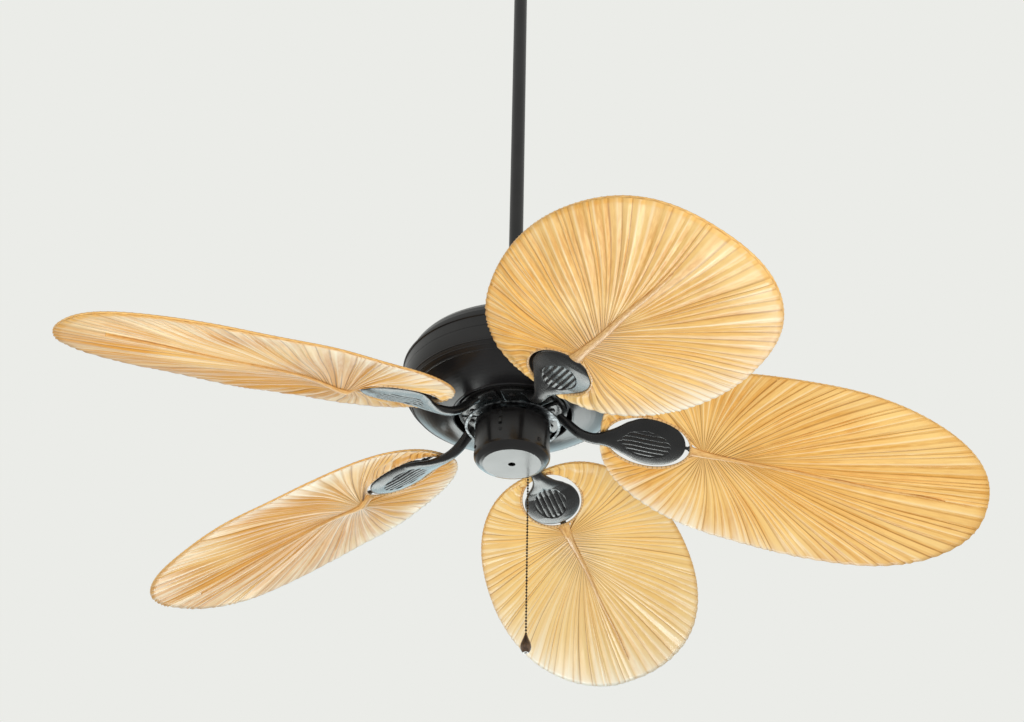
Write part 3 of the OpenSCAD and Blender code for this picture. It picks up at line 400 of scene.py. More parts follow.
# neck: distance out, height over the row's plane, its fall per metre of cup, half width, half thickness,
# slope in degrees, and roll as a share of the leaf's pitch
neck_sections = [
    (0.060, 0.0270, 0.0, 0.0125, 0.0026, 0, 0),
    (0.069, 0.0240, 0.0, 0.0105, 0.0053, 30, 0),
    (0.077, 0.0165, 0.1, 0.0085, 0.0063, 45, 0),
    (0.085, 0.0080, 0.3, 0.0085, 0.0063, 43, 0.1),
    (0.094, 0.0005, 0.6, 0.0085, 0.0063, 33, 0.25),
    (0.106, -0.0048, 0.9, 0.0085, 0.0063, 12, 0.5),
    (0.118, -0.0068, 1.0, 0.0091, 0.0059, 3, 0.8),
]
neck_rings = 6
neck_power = 2.1
# paddle: distance along the leaf, height of its edge, thickness below and above it, power that makes its
# section round or flat, and bulge of its lower face
paddle_sections = np.array([
    (0.130, -0.0087, 0.0054, 0.0054, 2.2, 0.0),
    (0.141, -0.0070, 0.0052, 0.0050, 2.4, 0.0),
    (0.155, -0.0032, 0.0040, 0.0044, 3.0, 0.0015),
    (0.170, -0.0006, 0.0026, 0.0026, 5.0, 0.0042),
    (0.194, -0.0002, 0.0023, 0.0022, 6.0, 0.0058),
    (0.215, -0.0002, 0.0022, 0.0022, 6.0, 0.0052),
    (0.230, -0.0002, 0.0020, 0.0022, 6.0, 0.0034),
    (0.239, -0.0002, 0.0018, 0.0020, 4.0, 0.0012),
    (0.2428, -0.0002, 0.0012, 0.0012, 3.0, 0.0),
])
paddle_centre = 0.1945
paddle_half = (0.0483, 0.0405)
# half widths of the paddle's flare, up to where its oval begins
flare = np.array([(0.130, 0.0125), (0.142, 0.0175), (0.150, 0.0230), (0.157, 0.0280), (0.165, 0.0320)])
# the paddle sits a little to one side in its hoop on some of the leaves, from this length of flare on
paddle_shift = [0.0, 0.0015, -0.0025, 0.0010, 0.0]
shift_length = 0.03
# the neck's curve runs on through these paddle rings, and the paddle's own rings start at the middle one
joint_rings = (0.130, 0.141, 0.152)
# passes that even out the neck, and how many rings past it they reach
even_passes = 30
even_rings = 10
recess_centre = (0.188, 0.002)
recess_half = (0.0355, 0.0235)
recess_depth = 0.0028
# slope at the recess's edge as a share of its size, and the ribs' half width and height as shares of the
# pitch and the depth
recess_slope = 0.10
rib_pitch = 0.0076
rib_half = 0.40
rib_height = 0.95
rib_tilt = 0.35
foot_radius = 0.058
foot_half_width = 0.014
foot_height = 0.027
foot_half_thick = 0.003
foot_angle = 66
foot_power = 0.25
foot_steps = 40
foot_sides = 32
paddle_black = wear_and_glint_material(
    "paddle_black", srgb(22, 22, 22), srgb(28, 28, 28), 0.27, 0.08,
    patch=30.0, grain=650.0, bump=0.03, Specular_IOR_Level=0.5,
)


def bearing_of(k):
    """Bearing of leaf k in degrees: the first one's, k equal steps and its own small turn."""
    return first_blade + 360 / blade_count * k + leaf_set[k]["turn"]


def blade_matrix(k):
    """Leaf axes (along, across, up) to their place: turn, root, then droop about Y, then pitch about X."""
    leaf = leaf_set[k]
    return (
        Matrix.Translation((0, 0, hub_height))
        @ Matrix.Rotation(math.radians(bearing_of(k)), 4, "Z")
        @ Matrix.Translation((root_radius, 0, root_height - leaf["cup"]))
        @ Matrix.Rotation(math.radians(leaf["droop"]), 4, "Y")
        @ Matrix.Rotation(math.radians(-leaf["pitch"]), 4, "X")
        @ Matrix.Translation((-root_radius, 0, 0))
    )


def placed(points, k):
    """Points (..., 3) of leaf k carried to their place: R p + t."""
    matrix = blade_matrix(k)
    return points @ np.array(matrix.to_3x3()).T + np.array(matrix.translation)


def around(half_width, below, above, power):
    """Closed section of an arm, as x, y and z: x = cos q, y = half_width x, and z = (1 - |x|^n)^(1/n) times
    -below on the lower half of the turn and above on the upper one."""
    q = np.concatenate([
        np.linspace(0, np.pi, lower_columns, endpoint=False),
        np.linspace(np.pi, 2 * np.pi, upper_columns, endpoint=False),
    ])
    x = np.cos(q)
    round_edge = np.clip(1 - np.abs(x) ** power, 0, 1) ** (1 / power)
    return x, half_width * x, np.where(q < np.pi, -below, above) * round_edge


def neck_ring(k, section):
    """One ring of the neck: its oval rolled about X, sloped about Y, moved out and turned about Z."""
    out, height, fall, half_width, half_thick, slope, roll = section
    leaf = leaf_set[k]
    x, y, z = around(half_width, half_thick, half_thick, neck_power)
    roll, slope = math.radians(roll * leaf["pitch"]), math.radians(slope)
    y, z = y * math.cos(roll) + z * math.sin(roll), z * math.cos(roll) - y * math.sin(roll)
    ring = np.stack([out + z * math.sin(slope), y, height - fall * leaf["cup"] + z * math.cos(slope)], -1)
    turn = Matrix.Rotation(math.radians(bearing_of(k)), 3, "Z")
    return ring @ np.array(turn).T + np.array([0, 0, hub_height])


def paddle_ring(k, along):
    """One ring of the paddle. Its half width is B sqrt(1 - ((u - c) / A)^2) past the flare. Its lower face
    bulges by h (1 - x^2) and is cut by the recess, whose edge slopes as 3 i^2 - 2 i^3, and where ribs of
    (1 - |r|^3)^(1/3) stand up, tilted to one side."""
    distances, *shapes = paddle_sections.T
    edge, below, above, power, bulge = (np.interp(along, distances, shape) for shape in shapes)
    oval = paddle_half[1] * math.sqrt(max(1 - ((along - paddle_centre) / paddle_half[0]) ** 2, 0))
    half_width = oval if along > flare[-1, 0] else np.interp(along, *flare.T)
    x, v, w = around(max(half_width, 0.0004), below, above, power)
    lower = np.arange(len(x)) < lower_columns
    distance = np.hypot((along - recess_centre[0]) / recess_half[0], (v - recess_centre[1]) / recess_half[1])
    inside = np.clip((1 - distance) / recess_slope, 0, 1)
    inside = inside * inside * (3 - 2 * inside)
    across = (v - recess_centre[1]) / rib_pitch
    over_rib = (across - np.floor(across) - 0.5) / rib_half
    rib = np.clip(1 - np.abs(over_rib) ** 3, 0, 1) ** (1 / 3) * (1 - rib_tilt * (0.5 + 0.5 * over_rib))
    cut = recess_depth * inside * (1 - rib_height * rib)
    w = w + np.where(lower, -bulge * (1 - x**2) + cut, 0)
    shift = paddle_shift[k] * min(max((along - flare[0, 0]) / shift_length, 0), 1)
    return placed(np.stack([along + 0 * v, v + shift, edge + w], -1), k)


def through(rings, stop):
    """Catmull-Rom curve through rings 0 to stop. Between b and c, with a before them and d after, it is
    (2b + (c - a) f + (2a - 5b + 4c - d) f^2 + (3b - a - 3c + d) f^3) / 2."""
    rings = np.concatenate([rings[:1], rings])
    t = np.linspace(0, stop, stop * neck_rings, endpoint=False)
    i, f = t.astype(int), (t - t.astype(int))[:, None, None]
    a, b, c, d = (rings[i + step] for step in range(4))
    return (2 * b + (c - a) * f + (2 * a - 5 * b + 4 * c - d) * f**2 + (3 * b - a - 3 * c + d) * f**3) / 2


def arm_shell(k):
    """Neck through its sections, then paddle rings at u0 + (u1 - u0) sin(90 deg s), which crowd towards the
    end. Each pass evens out the neck's rings by (before + 2 here + after) / 4."""
    first, last = joint_rings[1], paddle_sections[-1, 0]
    keys = [neck_ring(k, section) for section in neck_sections]
    keys = np.stack(keys + [paddle_ring(k, along) for along in joint_rings])
    neck = through(keys, len(neck_sections) + 1)
    along = first + (last - first) * np.sin(np.pi / 2 * np.linspace(0, 1, arm_rings))
    rings = np.concatenate([neck, np.stack([paddle_ring(k, u) for u in along])])
    evened = slice(1, len(neck) + even_rings)
    for _ in range(even_passes):
        before, here, after = rings[:-2], rings[1:-1], rings[2:]
        rings[1:-1][evened] = ((before + 2 * here + after) / 4)[evened]
    return rings


def foot_shell(k):
    """Arc plate under the flywheel, r (cos a, sin a) over the foot's angle. Its section is a rounded box,
    w sgn(cos q) |cos q|^n across and t sgn(sin q) |sin q|^n up."""
    first, last = bearing_of(k) - foot_angle / 2, bearing_of(k) + foot_angle / 2
    a = np.radians(np.linspace(first, last, foot_steps))
    out = np.stack([np.cos(a), np.sin(a), 0 * a], -1)
    q = np.linspace(0, 2 * np.pi, foot_sides, endpoint=False)
    wide = foot_half_width * np.sign(np.cos(q)) * np.abs(np.cos(q)) ** foot_power
    thick = foot_half_thick * np.sign(np.sin(q)) * np.abs(np.sin(q)) ** foot_power
    path = foot_radius * out + np.array([0, 0, hub_height + foot_height])
    up = np.array([0, 0, 1.0])
    return path[:, None, :] + out[:, None, :] * wide[None, :, None] + up * thick[None, :, None]


for k in range(blade_count):
    for name, points in (("arm", arm_shell(k)), ("arm_foot", foot_shell(k))):
        rows, columns = points.shape[:2]
        quads = ring_faces(rows, columns, False, True)
        piece = mesh_piece(
            f"{name}_{k + 1}", points, quads, paddle_black, "rotor", end_caps(rows, columns)
        )
        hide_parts(f"blade_arm_{k + 1}")
dress("arm_screws", black_enamel)


# Palm leaves. Each blade is a dried fan-palm leaf, pressed while damp so
# that it keeps its folds, which spread from the stem's end. It is cut to
# an egg shape, and a frame of cane carries it round the arm's paddle.
leaf_width = 0.317
leaf_lean = 0.065
leaf_start = root_radius + 0.0005
leaf_thickness = 0.001
leaf_rows = 34
# the egg outline's own numbers: how its points are spread in degrees, powers of its ends and its sides, and
# how much wider it is towards the tip
egg_spread = 7.9
egg_end = 1.15
egg_side = 0.886
egg_swell = 0.223
hoop_centre = 0.190
hoop_half = (0.0608, 0.0443)
stem_end = 0.269
hang_reach = 0.03
# waves of the edge (height, number round the leaf, phase for each leaf), where they are in full, and the
# power of the dish between its middle and its edge
edge_waves = [(0.0022, 3, 1.7), (0.0014, 5, 2.9), (0.0004, 9, 1)]
edge_wave_reach = 0.08
cup_power = 1.2
fold_count = 92
fold_steps = 8
fold_seed = 61
# how wide folds are beside one another, where their ridges lie across them, and how deep they are
fold_widths = (0.45, 1.75)
ridge_places = (0.3, 0.7)
fold_depth = (0.0009, 0.0034)
# folds at the tip are narrower, and one in seven or so is deeper
narrow_folds = slice(fold_count // 2 - 4, fold_count // 2 + 4)
narrow_share = 0.7
deep_from = 0.85
deep_share = 1.6
ridge_power = 0.82
# how the folds gather on the rib, bend to one side, begin past it, dip at the edge and crowd their rows
rib_power = 3.6
fold_bend = 0.006
fold_begin = 0.004
crease_dip = 0.0012
row_power = 1.15
# the press flattened folds by so much, and ripples by so much, from this row share on to the edge
press_start = 0.6
press_power = 1.5
press_folds = 0.7
press_ripples = 0.9
# slow ripples: height, number round the leaf, number along a fold, phase for each leaf
ripples = [(0.0014, 7, 1.3, 2), (0.0012, 19, 0.4, 5), (0.0011, 31, -0.3, 3)]
# how narrow the light through the edge is round the leaf, and powers of its streaks from wide to thin
shine_narrow = 2.5
shine_powers = (3, 9)
# fibres' pattern per metre along a fold, and the length over which the leaf is darker from the stem's end
grain_along = 9
along_reach = 0.30


def leaf_edge(k, share):
    """Egg outline. t = 2 pi share + spread sin 4 pi share, s = (1/2 - cos t / 2)^end,
    v = W/2 sin^side t (1 + swell (s - 1/2)) and u = start + length s + lean v."""
    t = 2 * np.pi * share + np.radians(egg_spread) * np.sin(4 * np.pi * share)
    s = (0.5 - 0.5 * np.cos(t)) ** egg_end
    v = leaf_width / 2 * np.sign(np.sin(t)) * np.abs(np.sin(t)) ** egg_side * (1 + egg_swell * (s - 0.5))
    u = leaf_start + leaf_set[k]["length"] * s + leaf_lean * v
    return np.stack([u, v], -1)


def hoop_crossings(origin, target):
    """Distances at which the line from origin to target enters and leaves the oval hoop, the two roots of
    a d^2 + b d + c = 0, or nan where it misses."""
    ahead = target - origin
    ahead = ahead / np.linalg.norm(ahead, axis=-1, keepdims=True)
    ox = (origin[..., 0] - hoop_centre) / hoop_half[0]
    oy = origin[..., 1] / hoop_half[1]
    dx, dy = ahead[..., 0] / hoop_half[0], ahead[..., 1] / hoop_half[1]
    a, b, c = dx**2 + dy**2, 2 * (ox * dx + oy * dy), ox**2 + oy**2 - 1
    with np.errstate(invalid="ignore"):
        root = np.sqrt(b**2 - 4 * a * c)
        near, far = (-b - root) / (2 * a), (-b + root) / (2 * a)
    hit = far > 0
    return np.where(hit, near, np.nan), np.where(hit, far, np.nan)


def edge_height(k, point, share):
    """Height of the dished leaf at its edge: cup times the way past the hoop, plus waves a sin(n q + p)."""
    away = np.linalg.norm(point - np.array([hoop_centre, 0]), axis=-1) - hoop_half[0]
    rise = leaf_set[k]["cup"] * np.clip(away / (leaf_width / 2 - hoop_half[0]), 0, 1)
    turn = 2 * np.pi * share
    waves = sum(high * np.sin(count * turn + phase * k) for high, count, phase in edge_waves)
    return rise + waves * np.clip(away / edge_wave_reach, 0, 1)


def hang(k, point):
    """How far the leaf hangs round the stem's end: a bell h e^(-(d / reach)^2 / 2), nothing at the hoop."""
    from_end = np.linalg.norm(point - np.array([stem_end, 0]), axis=-1)
    past_hoop = np.hypot((point[..., 0] - hoop_centre) / hoop_half[0], point[..., 1] / hoop_half[1]) - 1
    full_at = (stem_end - hoop_centre) / hoop_half[0] - 1
    bell = leaf_set[k]["hang"] * np.exp(-((from_end / hang_reach) ** 2) / 2)
    return bell * np.clip(past_hoop / full_at, 0, 1)


def fold_columns(k):
    """Columns over all the folds: share of the way round, height valley + (ridge - valley) y^n, crease (0 on
    a ridge seen from below, 1 in a valley), a tint per fold, and which of its flanks a column is on."""
    random = np.random.default_rng(fold_seed + k)
    width = random.uniform(*fold_widths, fold_count)
    width[narrow_folds] *= narrow_share
    start = np.concatenate([[0], np.cumsum(width)[:-1]]) / width.sum()
    width = width / width.sum()
    ridge = random.uniform(*ridge_places, fold_count)[:, None]
    deep = random.uniform(*fold_depth, fold_count)
    deep = deep * np.where(random.random(fold_count) > deep_from, deep_share, 1.0)
    valley = (deep + np.roll(deep, 1)) / 4
    low = -deep / 2
    steps = np.arange(fold_steps // 2) / (fold_steps // 2)
    x = np.concatenate([steps * ridge, ridge + steps * (1 - ridge)], axis=1)
    y = np.concatenate([steps + 0 * ridge, 1 - steps + 0 * ridge], axis=1)
    side = np.concatenate([valley[:, None] + 0 * steps, np.roll(valley, -1)[:, None] + 0 * steps], axis=1)
    height = side + (low[:, None] - side) * y**ridge_power
    tint = np.repeat(random.random(fold_count), fold_steps)
    flank = np.tile(np.repeat([-1.0, 1.0], fold_steps // 2), fold_count)
    return (start[:, None] + width[:, None] * x).ravel(), height.ravel(), 1 - y.ravel(), tint, flank


def two_sides(k, flat, z, crease, grain, **shares):
    """Both faces of a leaf on one closed grid: z - t/2 first, then z + t/2 in reverse, with their values."""
    half = leaf_thickness / 2
    low = np.concatenate([flat, (z - half)[..., None]], -1)
    top = np.concatenate([flat, (z + half)[..., None]], -1)

    def both(lower, upper):
        """A value on each face, in the order of the points."""
        lower, upper = np.broadcast_to(lower, z.shape), np.broadcast_to(upper, z.shape)
        return np.concatenate([lower, upper[::-1]]).ravel()

    values = {label: both(value, value) for label, value in shares.items()}
    values["tone"] = both(leaf_set[k]["tone"], leaf_set[k]["tone"])
    values["crease"] = both(crease, 1 - crease)
    values["grain"] = np.concatenate([grain, grain[::-1]]).reshape(-1, 3)
    return np.concatenate([low, top[::-1]]), values


def leaf_shell(k):
    """Folded leaf. Rows run from the stem's end, or the hoop, to the edge, p = origin + ahead d + side bend.
    The folds grow up to two thirds of the way and are flatter at the edge, z = base + fold + ripple."""
    leaf = leaf_set[k]
    share, height, crease, tint, flank = fold_columns(k)
    edge = leaf_edge(k, share)
    bearing = np.arctan2(edge[:, 1], edge[:, 0] - stem_end)
    tipward = np.clip(np.cos(bearing), 0, 1) ** rib_power
    origin = np.stack([stem_end + leaf["rib"] * tipward, 0 * share], -1)
    reach = np.linalg.norm(edge - origin, axis=1)
    ahead = (edge - origin) / reach[:, None]
    far = hoop_crossings(origin, edge)[1]
    begin = np.where(np.isnan(far), fold_begin, far)
    finish = reach - crease_dip * crease
    rows = np.linspace(0, 1, leaf_rows)[:, None] ** row_power
    away = begin + (finish - begin) * rows
    flat = origin + ahead * away[..., None]
    # folds are a little curved, as each was pressed by hand
    turn = 2 * np.pi * share
    side = np.stack([-ahead[:, 1], ahead[:, 0]], -1)
    bend = fold_bend * np.sin(2 * turn + k) * np.sin(np.pi * rows)
    flat = flat + side * bend[..., None]
    grow = away / reach
    pressed = np.clip((rows - press_start) / (1 - press_start), 0, 1) ** press_power
    fold = height * np.clip(grow * 1.5, 0, 1) * (1 - press_folds * pressed)
    base = edge_height(k, edge, share) * rows**cup_power - hang(k, flat)
    ripple = sum(
        high * np.sin(2 * np.pi * (count * share + waves * rows) + phase * k)
        for high, count, waves, phase in ripples
    )
    ripple = ripple * grow * (1 - press_ripples * pressed)
    circle = fold_count / (2 * np.pi)
    grain = [circle * np.cos(turn) + 0 * away, circle * np.sin(turn) + 0 * away, grain_along * away]
    # light comes through the thin edge in streaks, a e^(n (cos(q - q0) - 1)) round the leaf
    shine = sum(
        most * np.exp(shine_narrow * (np.cos(turn - np.radians(at)) - 1))
        for at, most in leaf["shine"].items()
    )
    points, values = two_sides(
        k, flat, base + ripple + fold, crease, np.stack(grain, -1),
        along=np.clip(away / along_reach, 0, 1), edge_share=rows, tint=tint, flank=flank,
        shine=shine * rows ** (shine_powers[0] + shine_powers[1] * tint),
    )
    return points, ring_faces(2 * leaf_rows, len(share), True, True)[:, ::-1], values


# bearings in degrees between which the small folds by the hoop lie, and the part that is open on two leaves
collar_bearing = 133.7
collar_gap = (188.0, 212.0)
collar_columns = 61
collar_rows = 8
collar_folds = 34
collar_depth = 0.0011
collar_start = 0.002
collar_grain = 14


def collar_shell(k, first, last):
    """Small fan of folds a sin(n b) from the stem's end to the hoop, p = end + r (cos b, sin b), between two
    bearings in degrees."""
    bearing = np.radians(np.linspace(first, last, collar_columns))
    ahead = np.stack([np.cos(bearing), np.sin(bearing)], -1)
    origin = np.array([stem_end, 0]) + 0 * ahead
    near = hoop_crossings(origin, origin + ahead)[0]
    near = np.where(np.isnan(near), np.nanmax(near), near)
    rows = np.linspace(0, 1, collar_rows)[:, None]
    away = collar_start + (near - collar_start) * rows
    flat = origin + ahead * away[..., None]
    wave = np.sin(bearing * collar_folds + k)
    around_end = collar_grain * ahead[None] + 0 * away[..., None]
    grain = np.concatenate([around_end, grain_along * away[..., None]], -1)
    points, values = two_sides(
        k, flat, collar_depth * wave * rows - hang(k, flat), 0.5 + 0.5 * wave, grain,
        along=away / along_reach, edge_share=0.0, tint=0.5, flank=0.0, shine=0.0,
    )
    starts = np.arange(2 * collar_rows) * collar_columns
    caps = [starts, (starts + collar_columns - 1)[::-1]]
    return points, ring_faces(2 * collar_rows, collar_columns, True, False), caps, values


golden = srgb(242, 193, 108)
honey = srgb(222, 162, 78)
straw = srgb(252, 217, 144)
# the next colour is a painted highlight on the folds' ridges
highlight_cream = srgb(255, 238, 200)
milk = srgb(255, 247, 226)
amber = srgb(210, 144, 58)
umber = srgb(206, 150, 76)
# the next two colours are painted shade in the creases
crease_shade_brown = srgb(158, 102, 42)
deep_crease_shade = srgb(98, 58, 24)


def leaf_material():
    """Dried palm by fold: a painted highlight on the ridges, painted shade in the creases as thin brown
    lines, a painted paler flank on each fold, fibres along the folds, a darker colour at the stem's end, and
    light through the edge in streaks."""
    material, tree, shader = new_shader("palm_leaf", Specular_IOR_Level=0.15, Coat_Roughness=0.3)

    def read(label, output="Fac"):
        """Output of one of the leaf's own attributes."""
        return add(tree, "ShaderNodeAttribute", attribute_name=label).outputs[output]

    crease, along, edge_share, shine = read("crease"), read("along"), read("edge_share"), read("shine")
    tint, flank, tone, grain = read("tint"), read("flank"), read("tone"), read("grain", "Vector")
    place = add(tree, "ShaderNodeTexCoord").outputs["Object"]
    fibre = noise(tree, grain, 5.0, 4.0)
    cloud = noise(tree, grain, 0.55, 2.0)
    broad = noise(tree, place, 5.5, 1.0)
    # how each leaf and each fold dried
    colour = mix(tree, span(tree, fibre, 0.36, 0.66), golden, honey)
    colour = mix(tree, maths(tree, "MULTIPLY", tint, 0.35), colour, honey)
    colour = mix(tree, tone, colour, amber)
    colour = mix(tree, span(tree, tone, 0.0, -1.0), colour, straw)
    colour = mix(tree, span(tree, cloud, 0.5, 0.72, 0.0, 0.45), colour, straw)
    colour = mix(tree, span(tree, broad, 0.46, 0.66, 0.0, 0.45), colour, straw)
    # painted light: one flank of each fold is paler, as if lit from its side, and its ridge as seen from each
    # face carries a painted highlight
    painted_flank_light = maths(tree, "MULTIPLY", span(tree, flank, -1.0, 1.0, 0.0, 0.4), span(tree, edge_share, 0.1, 0.8))
    colour = mix(tree, painted_flank_light, colour, straw)
    ridge = maths(tree, "MULTIPLY", span(tree, crease, 0.34, 0.0), span(tree, tint, 1.0, 0.2, 0.03, 0.42))
    colour = mix(tree, ridge, colour, highlight_cream)
    colour = mix(tree, span(tree, along, 0.22, 0.0, 0.0, 0.3), colour, umber)
    # painted shade in the creases: brown lines in all of them near the stem's end and in some of them further
    # out
    crease_shade = maths(tree, "MULTIPLY", span(tree, crease, 0.72, 1.0), span(tree, tint, 0.2, 1.0, 0.08, 0.8))
    inner_crease_shade = maths(tree, "MULTIPLY", span(tree, crease, 0.6, 1.0), span(tree, along, 0.3, 0.02))
    crease_shade_colour = mix(tree, span(tree, along, 0.36, 0.04), crease_shade_brown, deep_crease_shade)
    colour = mix(tree, maths(tree, "MAXIMUM", crease_shade, inner_crease_shade), colour, crease_shade_colour)
    colour = mix(tree, span(tree, edge_share, 0.94, 1.0, 0.0, 0.4), colour, honey)
    glow = maths(tree, "MULTIPLY", shine, span(tree, crease, 1.0, 0.55, 0.35, 1.0))
    colour = mix(tree, glow, colour, milk)
    tree.links.new(span(tree, cloud, 0.45, 0.68, 0.05, 0.42), shader.inputs["Coat Weight"])
    finish_with(tree, shader, colour, span(tree, fibre, 0.3, 0.7, 0.34, 0.48), fibre, 0.35, 0.0006)
    return material


palm_leaf = leaf_material()

for k, leaf in enumerate(leaf_set):
    number = k + 1
    points, quads, values = leaf_shell(k)
    piece = mesh_piece(
        f"leaf_{number}", placed(points, k), quads, palm_leaf, "rotor", values=values
    )
    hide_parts(f"palm_leaf_{number}")
    spans = [(collar_bearing, 360 - collar_bearing)]
    if leaf["open"]:
        spans = [(collar_bearing, collar_gap[0]), (collar_gap[1], 360 - collar_bearing)]
    for part, bearings in enumerate(spans, 1):
        points, quads, caps, values = collar_shell(k, *bearings)
        name = f"leaf_collar_{number}_{part}"
        mesh_piece(name, placed(points, k), quads, palm_leaf, "rotor", caps, values)

# Leaf frame. A flat cane is stitched on top of the leaf's edge, a cane
# hoop wound with bark rings the paddle, and the leaf's own stem lies under
# the folds, thick at the hoop and thin towards the tip.
cane_sides = 12
# fibres' pattern round a cane and per metre along it
fibre_round = 2
fibre_along = 60
rim_half = (0.0036, 0.0018)
rim_lift = 0.0021
rim_points = 900
# a lash swells the rim by a share of its size, where steep cos(n q) - level is over nothing
lash_pitch = 0.009
lash_swell = 0.13
lash_steep = 4
lash_level = 2.6
hoop_radius = 0.0018
hoop_length = 0.34
hoop_turns = 56
hoop_swell = 0.03
hoop_points = 448
stem_points = 120
stem_overlap = 0.001
stem_share = 0.86
stem_half_width = 0.0085
stem_taper = 0.028
# half width of the rib that runs on past the stem's end, for each leaf
rib_half_width = [0.0030, 0.0052, 0.0021, 0.0030, 0.0030]
# half thickness all along, its swelling by the hoop (height, place, width), and what it loses to the tip
stem_half_thick = 0.0018
stem_swelling = (0.0016, 0.018, 0.022)
stem_thinning = 0.0006
stem_drop = 0.0016
# half width left at the tip, and the stem's small bends: height, and number per metre
stem_tip = 0.0004
stem_bends = (0.0006, 38)


def cane_values(count, length, wrap):
    """Fibre place (r cos q, r sin q, a s) along a cane, and its wrap value, 0 in the binding's grooves."""
    s = np.repeat(np.linspace(0, length, count), cane_sides)
    q = np.tile(np.linspace(0, 2 * np.pi, cane_sides, endpoint=False), count)
    return {
        "grain": np.stack([fibre_round * np.cos(q), fibre_round * np.sin(q), fibre_along * s], -1),
        "wrap": np.repeat(np.broadcast_to(wrap, (count,)), cane_sides),
    }


def rim_shell(k):
    """Cane along the edge: the outline moved in by its half width and up onto the folds. It swells at each
    lash."""
    share = np.linspace(0, 1, rim_points, endpoint=False)
    edge = leaf_edge(k, share)
    ahead = np.roll(edge, -1, 0) - np.roll(edge, 1, 0)
    ahead = ahead / np.linalg.norm(ahead, axis=1)[:, None]
    inward = np.stack([ahead[:, 1], -ahead[:, 0], 0 * share], -1)
    height = edge_height(k, edge, share) + rim_lift
    path = np.concatenate([edge, height[:, None]], -1) + inward * rim_half[0]
    length = np.linalg.norm(np.diff(path, axis=0), axis=1).sum()
    lash = np.cos(2 * np.pi * share * round(length / lash_pitch))
    lash = np.clip(lash * lash_steep - lash_level, 0, 1)
    swell = 1 + lash_swell * lash
    points = swept(path, inward, (0, 0, 1.0), rim_half[0] * swell, rim_half[1] * swell, cane_sides)
    values = cane_values(rim_points, length, 1 - 0.5 * lash)
    return points, ring_faces(rim_points, cane_sides, True, True), values


def hoop_shell():
    """Oval ring (a cos t, b sin t) with a round section whose radius swells in each turn of the binding."""
    t = np.linspace(0, 2 * np.pi, hoop_points, endpoint=False)
    path = np.stack([hoop_centre + hoop_half[0] * np.cos(t), hoop_half[1] * np.sin(t), 0 * t], -1)
    out = np.stack([hoop_half[1] * np.cos(t), hoop_half[0] * np.sin(t), 0 * t], -1)
    out = out / np.linalg.norm(out, axis=1)[:, None]
    wrap = np.abs(np.sin(hoop_turns * t / 2))
    radius = hoop_radius * (1 + hoop_swell * wrap)
    points = swept(path, out, (0, 0, 1.0), radius, radius, cane_sides)
    values = cane_values(hoop_points, hoop_length, wrap)
    return points, ring_faces(hoop_points, cane_sides, True, True), values


def stem_shell(k):
    """Tapering rib under the leaf, (w0 - w1) e^(-d / taper) + w1 (1 - d / L)^0.7 + w2 wide and
    t + s e^(-((d - at) / width)^2) + c (1 - d / L) thick, on a path that follows the leaf."""
    leaf = leaf_set[k]
    begin = hoop_centre + hoop_half[0] - stem_overlap
    tip = root_radius + leaf["length"]
    length = (tip - begin) * stem_share
    d = np.linspace(0, length, stem_points)
    left = np.clip(1 - d / length, 0, 1)
    wide = (stem_half_width - rib_half_width[k]) * np.exp(-d / stem_taper)
    wide = wide + rib_half_width[k] * left**0.7 + stem_tip
    swelling, at, width = stem_swelling
    thick = stem_half_thick + swelling * np.exp(-(((d - at) / width) ** 2)) + stem_thinning * left
    u = begin + d
    rise = leaf["cup"] * np.clip((u - stem_end) / (tip - stem_end), 0, 1) ** cup_power - stem_drop
    rise = rise - hang(k, np.stack([u, 0 * u], -1))
    path = np.stack([u, stem_bends[0] * np.sin(u * stem_bends[1] + k), rise], -1)
    points = swept(path, (0, 1.0, 0), (0, 0, 1.0), wide, thick, cane_sides)
    quads = ring_faces(stem_points, cane_sides, False, True)
    return points, quads, end_caps(stem_points, cane_sides), cane_values(stem_points, length, 1.0)


def cane_fibre():
    """Group for cane, from its fibre coordinates and its wrap value: fibres that change its colour, roughness
    and height, and painted shade in the binding's groove where the wrap value falls to nothing."""
    group, inside, outside = node_group(
        "cane_fibre",
        {
            "Fibre place": "Vector", "Wrap": "Float", "Colour": "Color", "Second colour": "Color",
            "Groove shade colour": "Color", "Roughness": "Float",
        },
    )
    given = inside.outputs
    fibre = noise(group, given["Fibre place"], 1.6, 4.0)
    colour = mix(group, span(group, fibre, 0.36, 0.66), given["Colour"], given["Second colour"])
    # painted shade in the grooves between the binding's turns
    colour = mix(group, span(group, given["Wrap"], 0.55, 0.05, 0.0, 0.85), colour, given["Groove shade colour"])
    rough = maths(group, "ADD", given["Roughness"], span(group, fibre, 0.3, 0.7, -0.06, 0.1))
    group.links.new(colour, outside.inputs["Colour"])
    group.links.new(rough, outside.inputs["Roughness"])
    group.links.new(fibre, outside.inputs["Height"])
    return group


cane_group = cane_fibre()


def cane_material(name, colour, second, groove_shade, roughness):
    """Material whose colour, roughness and bump come from the cane_fibre group and the cane's attributes."""
    material, tree, shader = new_shader(name, Specular_IOR_Level=0.5)
    values = {
        "Fibre place": add(tree, "ShaderNodeAttribute", attribute_name="grain").outputs["Vector"],
        "Wrap": add(tree, "ShaderNodeAttribute", attribute_name="wrap").outputs["Fac"],
        "Colour": colour, "Second colour": second, "Groove shade colour": groove_shade, "Roughness": roughness,
    }
    fibre = add(tree, "ShaderNodeGroup", values, node_tree=cane_group).outputs
    finish_with(tree, shader, fibre["Colour"], fibre["Roughness"], fibre["Height"], 0.3, 0.0005)
    return material
